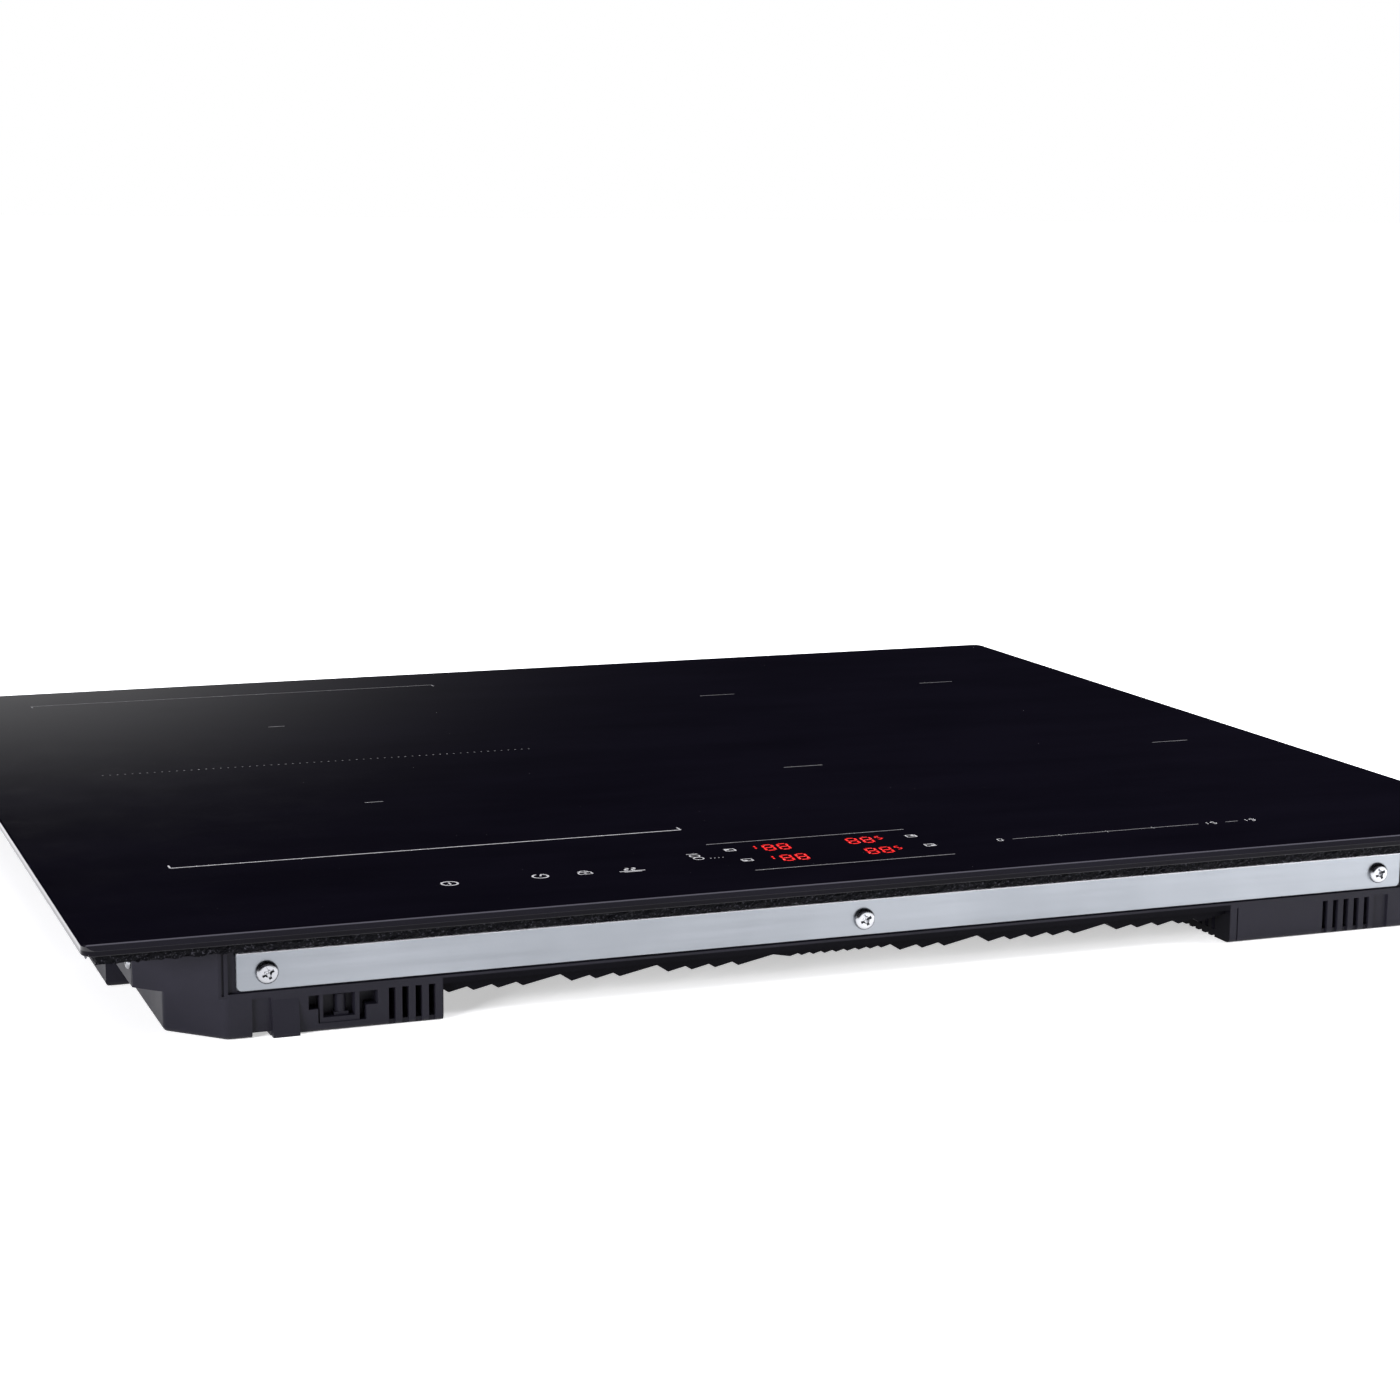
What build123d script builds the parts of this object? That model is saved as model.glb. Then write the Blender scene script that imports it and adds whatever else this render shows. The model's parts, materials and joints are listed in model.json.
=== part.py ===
"""Built-in electric induction cooktop with four cooking zones.

Frame: origin at the middle of the footprint, at the underside of the two rear
and front blocks. +X runs to the cook's right, -Y towards the cook, +Z up.
All sizes are in millimetres.
"""
from build123d import *
import os
from math import floor, sqrt

os.makedirs("parts", exist_ok=True)

# ---------------------------------------------------------------- driving dimensions
GLASS_WIDTH = 600
GLASS_DEPTH = 520
GLASS_THICKNESS = 4
GLASS_CORNER = 5
GLASS_FRONT_BEVEL = 2
OVERALL_HEIGHT = 43

BODY_WIDTH = 553
BODY_DEPTH = 489
BODY_CORNER_CUT = 26
WALL = 2.3
FLOOR = 2
WALL_TOP = 36
SEAM_HEIGHT = 15.6

# The lower body is narrower beside each front corner.
FRONT_BLOCK_WIDTH = 534
FRONT_BLOCK_BACK = -159
FRONT_BLOCK_CORNER_CUT = 19.2

# Air outlet recess between the two front blocks.
RECESS_LEFT = -168
RECESS_RIGHT = 163
RECESS_BACK = -122
LIP_HEIGHT = 13.8

SEAL_INSET = 5
SEAL_WIDTH = 9
SEAL_THICKNESS = 4.2

RAIL_LENGTH = 488
RAIL_THICKNESS = 1.2
RAIL_BOTTOM = 17.4
RAIL_TOP = 32.1
RAIL_SHELF = 8.4
RAIL_GLUE_FLANGE = 10
RAIL_SCREW_X = (-233, 0, 233)
RAIL_SCREW_HEIGHT = 24
RAIL_FACE_SETBACK = 0.2
RAIL_BEND = 1
RAIL_CORNER = 2
RAIL_EDGE = 0.3
RAIL_FIT = 0.5
RAIL_END_GAP = 3.1
RAIL_HOLE_RADIUS = 2.1
RAIL_BOSS_RADIUS = 4.5
RAIL_PILOT_RADIUS = 2

CLIP_Y = (-120, 150)
CLIP_SCREW_HEIGHT = 28
CORNER_SCREW_Y = (-214, 214)
SIDE_BOSS_RADIUS = 3.4
SIDE_HOLE_RADIUS = 1.6

TRAY_HEIGHT = 27.6
TRAY_THICKNESS = 1.5
CARRIER_HEIGHT = 31.8
CARRIER_THICKNESS = 2.2
WINDING_HEIGHT = 4.2
TURN_PITCH = 4.2
TURN_WIDTH = 3.6
LEAST_TURN_CORNER = 8
WINDING_BACKING = 1

FAN_RADIUS = 39
FAN_CENTRES = {"left": (-150, 165), "right": (70, 165)}
BOARD_HEIGHT = 6
BOARD_THICKNESS = 1.6

# Worked out from the dimensions above.
GLASS_BOTTOM = OVERALL_HEIGHT - GLASS_THICKNESS
SEAL_BOTTOM = GLASS_BOTTOM - SEAL_THICKNESS
BODY_SIDE = BODY_WIDTH / 2
BODY_FRONT = -BODY_DEPTH / 2
BODY_BACK = BODY_DEPTH / 2
RAIL_FACE = BODY_BACK - RAIL_FACE_SETBACK
RAIL_BED = RAIL_FACE - RAIL_THICKNESS
TRAY_TOP = TRAY_HEIGHT + TRAY_THICKNESS
BOARD_TOP = BOARD_HEIGHT + BOARD_THICKNESS
WINDING_BOTTOM = CARRIER_HEIGHT + CARRIER_THICKNESS
WINDING_TOP = WINDING_BOTTOM + WINDING_HEIGHT


def save(piece, name):
    """Label one finished piece and write it to its own STEP file."""
    piece.label = name
    export_step(piece, f"parts/{name}.step")


def block(x_range, y_range, z_range, mode=Mode.ADD):
    """Add or cut an axis-aligned block given by its ranges."""
    size = [high - low for low, high in (x_range, y_range, z_range)]
    centre = [(high + low) / 2 for low, high in (x_range, y_range, z_range)]
    with Locations(tuple(centre)):
        Box(*size, mode=mode)


def rod(x, y, bottom, top, radius, mode=Mode.ADD):
    """Add or cut an upright cylinder."""
    with Locations((x, y, (bottom + top) / 2)):
        Cylinder(radius, top - bottom, mode=mode)


# ---------------------------------------------------------------- cooking surface
# Thin ground edges all round, and one wide bevel along the front edge.
PENCIL_EDGE = 0.6
with BuildPart() as glass_plate:
    with BuildSketch(Plane.XY.offset(GLASS_BOTTOM)):
        RectangleRounded(GLASS_WIDTH, GLASS_DEPTH, GLASS_CORNER)
    extrude(amount=GLASS_THICKNESS)
    chamfer(glass_plate.faces().sort_by(Axis.Z)[-1].edges(), PENCIL_EDGE)
    chamfer(glass_plate.faces().sort_by(Axis.Z)[0].edges(), PENCIL_EDGE / 2)
    with BuildSketch(Plane.YZ):
        with BuildLine():
            Polyline(
                (-GLASS_DEPTH / 2 - 1, OVERALL_HEIGHT - GLASS_FRONT_BEVEL - 1),
                (-GLASS_DEPTH / 2 - 1, OVERALL_HEIGHT + 1),
                (-GLASS_DEPTH / 2 + GLASS_FRONT_BEVEL + 1, OVERALL_HEIGHT + 1),
                close=True,
            )
        make_face()
    extrude(amount=GLASS_WIDTH / 2 + 1, both=True, mode=Mode.SUBTRACT)
save(glass_plate.part, "glass_plate")

# Foam tape under the glass rim, which seals against the worktop.
with BuildPart() as foam_seal:
    with BuildSketch(Plane.XY.offset(SEAL_BOTTOM)):
        seal_width = GLASS_WIDTH - 2 * SEAL_INSET
        seal_depth = GLASS_DEPTH - 2 * SEAL_INSET
        RectangleRounded(seal_width, seal_depth, GLASS_CORNER)
        Rectangle(seal_width - 2 * SEAL_WIDTH, seal_depth - 2 * SEAL_WIDTH, mode=Mode.SUBTRACT)
    extrude(amount=SEAL_THICKNESS)
save(foam_seal.part, "foam_seal")


# ---------------------------------------------------------------- base tub
UPPER_OUTLINE = (
    (-BODY_SIDE, BODY_FRONT + BODY_CORNER_CUT),
    (-BODY_SIDE + BODY_CORNER_CUT, BODY_FRONT),
    (BODY_SIDE - BODY_CORNER_CUT, BODY_FRONT),
    (BODY_SIDE, BODY_FRONT + BODY_CORNER_CUT),
    (BODY_SIDE, BODY_BACK - BODY_CORNER_CUT),
    (BODY_SIDE - BODY_CORNER_CUT, BODY_BACK),
    (-BODY_SIDE + BODY_CORNER_CUT, BODY_BACK),
    (-BODY_SIDE, BODY_BACK - BODY_CORNER_CUT),
)
BLOCK_SIDE = FRONT_BLOCK_WIDTH / 2
LOWER_OUTLINE = (
    (-BLOCK_SIDE, BODY_FRONT + FRONT_BLOCK_CORNER_CUT),
    (-BLOCK_SIDE + FRONT_BLOCK_CORNER_CUT, BODY_FRONT),
    (BLOCK_SIDE - FRONT_BLOCK_CORNER_CUT, BODY_FRONT),
    (BLOCK_SIDE, BODY_FRONT + FRONT_BLOCK_CORNER_CUT),
    (BLOCK_SIDE, FRONT_BLOCK_BACK),
    (BODY_SIDE, FRONT_BLOCK_BACK),
    (BODY_SIDE, BODY_BACK - BODY_CORNER_CUT),
    (BODY_SIDE - BODY_CORNER_CUT, BODY_BACK),
    (-BODY_SIDE + BODY_CORNER_CUT, BODY_BACK),
    (-BODY_SIDE, BODY_BACK - BODY_CORNER_CUT),
    (-BODY_SIDE, FRONT_BLOCK_BACK),
    (-BLOCK_SIDE, FRONT_BLOCK_BACK),
)
UPPER_CORNER_ROUND = 1
LOWER_CORNER_ROUND = 3
BOTTOM_ROUND = 2
CUT_CLEAR = 1

# Grooves that frame each corner of the upper body.
CORNER_GROOVE_WIDTH = 0.9
CORNER_GROOVE_DEPTH = 0.8
CORNER_GROOVE_INSET = 1.5

# Louvre blades under the air outlet: each group starts at an x and has a count.
BLADE_PITCH = 9.5
BLADE_DROP = 4.7
BLADE_RUN = 9
BLADE_RISE = 2
BLADE_THICKNESS = 1.3
BLADE_FRONT = BODY_FRONT + 4
BLADE_SLOT = 3.8
LEFT_GROUPS = ((-164.9, 4), (-117.4, 3), (-79.0, 4))
RIGHT_GROUPS = ((17.3, 3), (55.7, 5), (112.9, 5))
FINE_START = -29.1
FINE_PITCH = 4.8
FINE_COUNT = 9
FINE_DROP = 3.1
FINE_RISE = 1.1
FINE_THICKNESS = 0.7
FINE_SLOT = 1.8

# Saw-toothed webs that tie the blades together at their front, middle and back.
WEB_THICKNESS = 1.5
WEB_FLANK_RUN = 4.4
WEB_NOTCH_RUN = 6.9
WEB_NOTCH_RISE = 1.6
WEB_TAIL_RUN = 14.4
WEB_TAIL_RISE = 2.9
WEB_FINE_NOTCH_RUN = 3.2
WEB_FINE_NOTCH_RISE = 0.9
PANEL_OVERLAP = 0.4
WEB_MARGIN = 3

# Vertical slots of the front blocks.
SLOT_WIDTH = 2.5
SLOT_PITCH = 5
SLOT_TOP = 14.1
LEFT_SLOTS = (-188.5, 4)
RIGHT_SLOTS = (207, 5)

# Moulded details on the front face of the left block; pairs are x ranges.
FRONT_PAD = 8
PAD_END = 241
FACE_RELIEF = 1.2
STEP = (-238.6, -231.8)
STEP_TOP = 14.5
STEP_FLOOR = 1.8
TAB = (-231.5, -221.7)
TAB_TOP = 13.6
TAB_REACH = 2
WINDOW = (-218.1, -192.6)
WINDOW_Z = (3.2, 13.8)
WINDOW_DEPTH = 5.5
CATCHES = ((-218.1, -214.6), (-196.9, -192.6))
CATCH_TOP = 8.6
POSTS = ((-214.0, -212.7), (-200.9, -199.3))
POST_SETBACK = 0.5
SILL_TOP = 5.1
CORE_X = -205.6
CORE_RADIUS = 2.1
CORE_TOP = 12.9
CORE_FOOT = (-208.2, -203.0)
RIGHT_GROOVE = (166.3, 166.9)
RIGHT_GROOVE_DEPTH = 0.6

# Terminal bay, entered from the rear through a hinged cover.
BAY_LEFT = 118
BAY_RIGHT = 254.3
BAY_FRONT = 206
BAY_TOP = 17.2
COVER_LEFT = 149.7
COVER_RIGHT = 250.3
HINGE_Y = BODY_BACK - 1.8
HINGE_Z = 15.2
PIN_RADIUS = 1.2
PIN_LENGTH = 3.2
PIN_END_GAP = 0.3
COVER_SETBACK = 0.1
RUNNING_CLEARANCE = 0.05
EAR = 4
BAY_WALL = 2
INLET_X = 132
INLET_Z = 9.2
INLET_HOLE_RADIUS = 7

# Vents: fan intakes, floor vents under the boards and outlets in the rear wall.
INTAKE_RADIUS = 32
INTAKE_PITCH = 5.6
VENT_WIDTH = 3
BOARD_VENT_LENGTH = 50
BOARD_VENT_PITCH = 12
BOARD_VENT_SETBACK = 45
REAR_VENT = (5, 8.6)
REAR_VENT_Z = 8.2
REAR_VENT_START = -230
REAR_VENT_PITCH = 10.4
REAR_VENT_COUNT = 30

TRAY_POSTS = [(x, y) for x in (-256, 256) for y in (-146, 20, 188)] + [(-40, 222), (-40, -114)]
POST_RADIUS = 4.5
HOLDER_POSTS = [(x, -200) for x in (-150, 2, 150)]
HOLDER_POST_TOP = 31
BOARD_POST_RADIUS = 3.5
PILOT_RADIUS = 1.5
BOARD_CENTRES = {"left": (-150, -5), "right": (98, -5)}
BOARD_SIZES = {"left": (196, 206), "right": (244, 206)}
BOARD_SCREW_INSET = 6


def board_screw_points(side):
    """The four corner screw positions of one power board."""
    x, y = BOARD_CENTRES[side]
    width, depth = BOARD_SIZES[side]
    half_x = width / 2 - BOARD_SCREW_INSET
    half_y = depth / 2 - BOARD_SCREW_INSET
    return [(x + i * half_x, y + j * half_y) for i in (-1, 1) for j in (-1, 1)]


def group_tips(start, count):
    """Lower tips of one group of blades."""
    return [start + i * BLADE_PITCH for i in range(count)]


def blade_outline(x, drop, run, rise, thickness):
    """Outline of one shingle-like blade whose lower tip is at x, hanging from the panel."""
    tip = LIP_HEIGHT - drop
    root = LIP_HEIGHT + PANEL_OVERLAP
    return (
        (x, tip),
        (x + run, tip + rise),
        (x + run, root),
        (x + run - 2 * thickness, root),
        (x + run - 2 * thickness, tip + rise + 0.6 * thickness),
        (x - thickness, tip + thickness),
    )


def group_teeth(start, count):
    """Lower edge of the web across one group: a flank, a tooth for each blade, a long tail."""
    low = LIP_HEIGHT - BLADE_DROP
    points = [(start - WEB_FLANK_RUN, low + WEB_TAIL_RISE)]
    for tip in group_tips(start, count):
        points += [(tip, low), (tip + WEB_NOTCH_RUN, low + WEB_NOTCH_RISE)]
    points[-1] = (tip + WEB_TAIL_RUN, low + WEB_TAIL_RISE)
    return points


def web_outline():
    """Saw-toothed outline of a web across all the blades, closed inside the panel."""
    points = [point for group in LEFT_GROUPS for point in group_teeth(*group)]
    fine_low = LIP_HEIGHT - FINE_DROP
    for i in range(FINE_COUNT):
        tip = FINE_START + i * FINE_PITCH
        points += [(tip, fine_low), (tip + WEB_FINE_NOTCH_RUN, fine_low + WEB_FINE_NOTCH_RISE)]
    points += [point for group in RIGHT_GROUPS for point in group_teeth(*group)]
    root = LIP_HEIGHT + PANEL_OVERLAP
    return points + [(points[-1][0], root), (points[0][0], root)]


# The wide upper half of the tub, before it is hollowed with the rest.
with BuildPart() as upper_body:
    with BuildSketch(Plane.XY.offset(SEAM_HEIGHT)):
        with BuildLine():
            Polyline(*UPPER_OUTLINE, close=True)
        make_face()
    extrude(amount=WALL_TOP - SEAM_HEIGHT)
    fillet(upper_body.edges().filter_by(Axis.Z), UPPER_CORNER_ROUND)
    groove_z = (SEAM_HEIGHT + CORNER_GROOVE_DEPTH, WALL_TOP + CUT_CLEAR)
    groove_inset = BODY_CORNER_CUT + CORNER_GROOVE_INSET
    across = 2 * CORNER_GROOVE_DEPTH
    for x, y, size in (
        (BODY_SIDE - groove_inset, BODY_BACK, (CORNER_GROOVE_WIDTH, across)),
        (BODY_SIDE, BODY_BACK - groove_inset, (across, CORNER_GROOVE_WIDTH)),
    ):
        with Locations([(i * x, j * y, sum(groove_z) / 2) for i in (-1, 1) for j in (-1, 1)]):
            Box(*size, groove_z[1] - groove_z[0], mode=Mode.SUBTRACT)

with BuildPart() as base_tub:
    with BuildSketch():
        with BuildLine():
            Polyline(*LOWER_OUTLINE, close=True)
        make_face()
    extrude(amount=SEAM_HEIGHT)
    outer_edges = base_tub.edges().filter_by(Axis.Z)
    outer_corners = outer_edges.filter_by(lambda e: abs(e.center().Y - FRONT_BLOCK_BACK) > 1)
    fillet(outer_corners, LOWER_CORNER_ROUND)
    fillet(base_tub.faces().sort_by(Axis.Z)[0].edges(), BOTTOM_ROUND)
    add(upper_body.part)

    # Inner hollow: a deep lower part, and a wider part above the seam.
    with BuildSketch(Plane.XY.offset(FLOOR)) as lower_inside:
        with BuildLine():
            Polyline(*LOWER_OUTLINE, close=True)
        make_face()
        offset(amount=-WALL, kind=Kind.INTERSECTION, mode=Mode.REPLACE)
        recess_width = RECESS_RIGHT - RECESS_LEFT + 2 * WALL
        recess_depth = RECESS_BACK - BODY_FRONT + WALL
        with Locations(((RECESS_LEFT + RECESS_RIGHT) / 2, BODY_FRONT + recess_depth / 2)):
            Rectangle(recess_width, recess_depth, mode=Mode.SUBTRACT)
        # The front walls of both blocks are thicker, to hold their pockets.
        for low, high in ((-PAD_END, RECESS_LEFT), (RIGHT_SLOTS[0] - 4, PAD_END)):
            with Locations(((low + high) / 2, BODY_FRONT + FRONT_PAD / 2)):
                Rectangle(high - low, FRONT_PAD, mode=Mode.SUBTRACT)
    extrude(amount=SEAM_HEIGHT - FLOOR, mode=Mode.SUBTRACT)
    with BuildSketch(Plane.XY.offset(SEAM_HEIGHT + FLOOR)):
        with BuildLine():
            Polyline(*UPPER_OUTLINE, close=True)
        make_face()
        offset(amount=-WALL, kind=Kind.INTERSECTION, mode=Mode.REPLACE)
    extrude(amount=WALL_TOP - SEAM_HEIGHT, mode=Mode.SUBTRACT)
    with BuildSketch(Plane.XY.offset(SEAM_HEIGHT)):
        with BuildLine():
            Polyline(*LOWER_OUTLINE, close=True)
        make_face()
        offset(amount=-WALL, kind=Kind.INTERSECTION, mode=Mode.REPLACE)
    extrude(amount=FLOOR, mode=Mode.SUBTRACT)

    # Outer recess under the air outlet.
    block(
        (RECESS_LEFT, RECESS_RIGHT),
        (BODY_FRONT - CUT_CLEAR, RECESS_BACK),
        (-CUT_CLEAR, LIP_HEIGHT),
        mode=Mode.SUBTRACT,
    )

    # Rail beds: the front and rear walls are lower and set back along each rail.
    half_bed = RAIL_LENGTH / 2 + RAIL_END_GAP
    half_notch = RAIL_LENGTH / 2 + RAIL_FIT
    ledge = RAIL_BOTTOM - RAIL_FIT
    for side in (-1, 1):
        bed_faces = sorted((side * RAIL_BED, side * (BODY_BACK + CUT_CLEAR)))
        wall_faces = sorted((side * (BODY_BACK - 2 * WALL), side * (BODY_BACK + CUT_CLEAR)))
        block((-half_bed, half_bed), bed_faces, (ledge, WALL_TOP + CUT_CLEAR), mode=Mode.SUBTRACT)
        block(
            (-half_notch, half_notch),
            wall_faces,
            (RAIL_TOP - RAIL_THICKNESS, WALL_TOP + CUT_CLEAR),
            mode=Mode.SUBTRACT,
        )
        # Bosses behind the rail screws.
        for x in RAIL_SCREW_X:
            with Locations(Location((x, side * (RAIL_BED - 5), RAIL_SCREW_HEIGHT), (90, 0, 0))):
                Cylinder(RAIL_BOSS_RADIUS, 9)
                Cylinder(RAIL_PILOT_RADIUS, 12, mode=Mode.SUBTRACT)

    # Slots through the outlet panel, then the blades and webs under it.
    slot_back = RECESS_BACK - 2 * WEB_MARGIN
    slot_front = BLADE_FRONT + 2 * WEB_MARGIN
    slot_middle = (slot_back + slot_front) / 2
    slot_spans = ((slot_front, slot_middle - WEB_MARGIN), (slot_middle + WEB_MARGIN, slot_back))
    blade_tips = [tip for group in LEFT_GROUPS + RIGHT_GROUPS for tip in group_tips(*group)]
    fine_tips = [FINE_START + i * FINE_PITCH for i in range(FINE_COUNT)]
    with BuildSketch(Plane.XY.offset(LIP_HEIGHT - CUT_CLEAR)):
        for tips, offset_x, width in ((blade_tips, 2.6, BLADE_SLOT), (fine_tips, 1.2, FINE_SLOT)):
            for low, high in slot_spans:
                with Locations([(tip + offset_x, (low + high) / 2) for tip in tips]):
                    Rectangle(width, high - low)
    extrude(amount=SEAM_HEIGHT - LIP_HEIGHT + 2 * CUT_CLEAR, mode=Mode.SUBTRACT)
    outlines = [blade_outline(tip, BLADE_DROP, BLADE_RUN, BLADE_RISE, BLADE_THICKNESS) for tip in blade_tips]
    fine_run = FINE_PITCH - FINE_THICKNESS
    outlines += [blade_outline(tip, FINE_DROP, fine_run, FINE_RISE, FINE_THICKNESS) for tip in fine_tips]
    with BuildSketch(Plane.XZ.offset(-BLADE_FRONT)):
        for outline in outlines:
            with BuildLine():
                Polyline(*outline, close=True)
            make_face()
    extrude(amount=BLADE_FRONT - RECESS_BACK)
    for web_front in (BLADE_FRONT, slot_middle - WEB_THICKNESS / 2, RECESS_BACK - WEB_THICKNESS):
        with BuildSketch(Plane.XZ.offset(-web_front)):
            with BuildLine():
                Polyline(*web_outline(), close=True)
            make_face()
        extrude(amount=-WEB_THICKNESS)

    # Front face of the left block: a step, a wedge-shaped tab, a window with posts, slots.
    relief = (BODY_FRONT - CUT_CLEAR, BODY_FRONT + FACE_RELIEF)
    through = (BODY_FRONT - CUT_CLEAR, BODY_FRONT + FRONT_PAD + CUT_CLEAR)
    window_back = BODY_FRONT + WINDOW_DEPTH
    block(STEP, relief, (-CUT_CLEAR, STEP_TOP), mode=Mode.SUBTRACT)
    block(STEP, through, (-CUT_CLEAR, STEP_FLOOR), mode=Mode.SUBTRACT)
    with BuildSketch(Plane.YZ.offset(TAB[0])):
        with BuildLine():
            Polyline(
                (BODY_FRONT + FACE_RELIEF, 0),
                (BODY_FRONT - TAB_REACH, 0),
                (BODY_FRONT - TAB_REACH, FACE_RELIEF),
                (BODY_FRONT, TAB_TOP),
                (BODY_FRONT + FACE_RELIEF, TAB_TOP),
                close=True,
            )
        make_face()
    extrude(amount=TAB[1] - TAB[0])
    block(WINDOW, (BODY_FRONT - CUT_CLEAR, window_back), WINDOW_Z, mode=Mode.SUBTRACT)
    for catch in CATCHES:
        block(catch, (BODY_FRONT, window_back), (WINDOW_Z[0], CATCH_TOP))
    for post in POSTS:
        block(post, (BODY_FRONT + POST_SETBACK, window_back), WINDOW_Z)
    block((POSTS[0][1], POSTS[1][0]), (BODY_FRONT + POST_SETBACK, window_back), (WINDOW_Z[0], SILL_TOP))
    rod(CORE_X, window_back - FACE_RELIEF, WINDOW_Z[0], CORE_TOP, CORE_RADIUS)
    foot_faces = (window_back - CORE_RADIUS - FACE_RELIEF, window_back)
    block(CORE_FOOT, foot_faces, (WINDOW_Z[0], SILL_TOP + FACE_RELIEF))
    for start, count in (LEFT_SLOTS, RIGHT_SLOTS):
        for i in range(count):
            x = start + i * SLOT_PITCH
            block((x, x + SLOT_WIDTH), through, (FLOOR, SLOT_TOP), mode=Mode.SUBTRACT)
            block((x, x + SLOT_WIDTH), relief, (-CUT_CLEAR, FLOOR), mode=Mode.SUBTRACT)

    # Front face of the right block: a groove beside its inner corner, and the outer step.
    groove_faces = (BODY_FRONT - CUT_CLEAR, BODY_FRONT + RIGHT_GROOVE_DEPTH)
    block(RIGHT_GROOVE, groove_faces, (-CUT_CLEAR, STEP_TOP), mode=Mode.SUBTRACT)
    block((-STEP[1], -STEP[0]), relief, (-CUT_CLEAR, STEP_TOP), mode=Mode.SUBTRACT)

    # Comb slots in the side walls of the outlet recess, and notches in their lower edges.
    comb_count = floor((RECESS_BACK - BODY_FRONT - 2 * FRONT_PAD) / SLOT_PITCH)
    comb_y = [BODY_FRONT + FRONT_PAD + 2 + (i + 0.5) * SLOT_PITCH for i in range(comb_count)]
    comb_x = (RECESS_LEFT - WALL / 2, RECESS_RIGHT + WALL / 2)
    for low, high in ((3, 12.4), (-CUT_CLEAR, 0.8)):
        with Locations([(x, y, (low + high) / 2) for x in comb_x for y in comb_y]):
            Box(WALL + 1, SLOT_WIDTH, high - low, mode=Mode.SUBTRACT)

    # Fan intakes: parallel slots in the floor inside a circle; straight vents under the boards.
    with BuildSketch(Plane.XY.offset(-CUT_CLEAR)):
        for x, y in FAN_CENTRES.values():
            for i in range(-5, 6):
                half_chord = sqrt(INTAKE_RADIUS**2 - (i * INTAKE_PITCH) ** 2)
                with Locations((x, y + i * INTAKE_PITCH)):
                    SlotOverall(2 * half_chord, VENT_WIDTH)
        for x, y in BOARD_CENTRES.values():
            with Locations([(x + i * BOARD_VENT_PITCH, y - BOARD_VENT_SETBACK) for i in range(-6, 7)]):
                SlotOverall(BOARD_VENT_LENGTH, VENT_WIDTH, rotation=90)
    extrude(amount=FLOOR + 2 * CUT_CLEAR, mode=Mode.SUBTRACT)
    rear_vent_x = [REAR_VENT_START + i * REAR_VENT_PITCH for i in range(REAR_VENT_COUNT)]
    with Locations([(x, BODY_BACK - WALL / 2, REAR_VENT_Z) for x in rear_vent_x]):
        Box(REAR_VENT[0], 2 * WALL, REAR_VENT[1], mode=Mode.SUBTRACT)

    # Posts for the coil tray, the control holder and the boards.
    for x, y in TRAY_POSTS:
        bottom = SEAM_HEIGHT if y < RECESS_BACK and RECESS_LEFT < x < RECESS_RIGHT else FLOOR
        rod(x, y, bottom - 1, TRAY_HEIGHT, POST_RADIUS)
        rod(x, y, TRAY_HEIGHT - 2 * POST_RADIUS, TRAY_HEIGHT + 1, PILOT_RADIUS, mode=Mode.SUBTRACT)
    for x, y in HOLDER_POSTS:
        rod(x, y, SEAM_HEIGHT - 1, HOLDER_POST_TOP, POST_RADIUS)
    for side in ("left", "right"):
        for x, y in board_screw_points(side):
            rod(x, y, FLOOR - 1, BOARD_HEIGHT, BOARD_POST_RADIUS)
            rod(x, y, FLOOR, BOARD_HEIGHT + 1, PILOT_RADIUS, mode=Mode.SUBTRACT)

    # Terminal bay: walls, roof, hinge ears, then its opening and holes.
    bay_x = (BAY_LEFT - BAY_WALL, BAY_RIGHT + BAY_WALL)
    bay_y = (BAY_FRONT - BAY_WALL, RAIL_BED)
    block(bay_x, (bay_y[0], BAY_FRONT), (FLOOR / 2, BAY_TOP + BAY_WALL))
    for x in (BAY_LEFT - BAY_WALL, BAY_RIGHT):
        block((x, x + BAY_WALL), bay_y, (FLOOR / 2, BAY_TOP + BAY_WALL))
    block(bay_x, bay_y, (BAY_TOP, BAY_TOP + BAY_WALL))
    for x in (COVER_LEFT - EAR, COVER_RIGHT):
        block((x, x + EAR), (BODY_BACK - 2 * EAR, BODY_BACK - COVER_SETBACK), (FLOOR / 2, ledge))
    with Locations(Location((INLET_X, BODY_BACK - 3.5, INLET_Z), (90, 0, 0))):
        Cylinder(INLET_HOLE_RADIUS + 1.2, 6)
        Cylinder(INLET_HOLE_RADIUS, 12, mode=Mode.SUBTRACT)
    mouth_y = (BODY_BACK - 2 * WALL, BODY_BACK + CUT_CLEAR)
    block((COVER_LEFT, COVER_RIGHT), mouth_y, (FLOOR, BAY_TOP), mode=Mode.SUBTRACT)
    hinge_line = Location(((COVER_LEFT + COVER_RIGHT) / 2, HINGE_Y, HINGE_Z), (0, 90, 0))
    with Locations(hinge_line):
        pin_span = COVER_RIGHT - COVER_LEFT + 2 * (PIN_LENGTH + PIN_END_GAP)
        Cylinder(PIN_RADIUS + RUNNING_CLEARANCE, pin_span, mode=Mode.SUBTRACT)

    # Screw bosses for the side clips and the corner screws.
    for y, z in [(y, CLIP_SCREW_HEIGHT) for y in CLIP_Y] + [(y, RAIL_SCREW_HEIGHT) for y in CORNER_SCREW_Y]:
        for side in (-1, 1):
            with Locations(Location((side * (BODY_SIDE - 4), y, z), (0, 90, 0))):
                Cylinder(SIDE_BOSS_RADIUS, 7)
                Cylinder(SIDE_HOLE_RADIUS, 14, mode=Mode.SUBTRACT)
save(base_tub.part, "base_tub")


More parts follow.
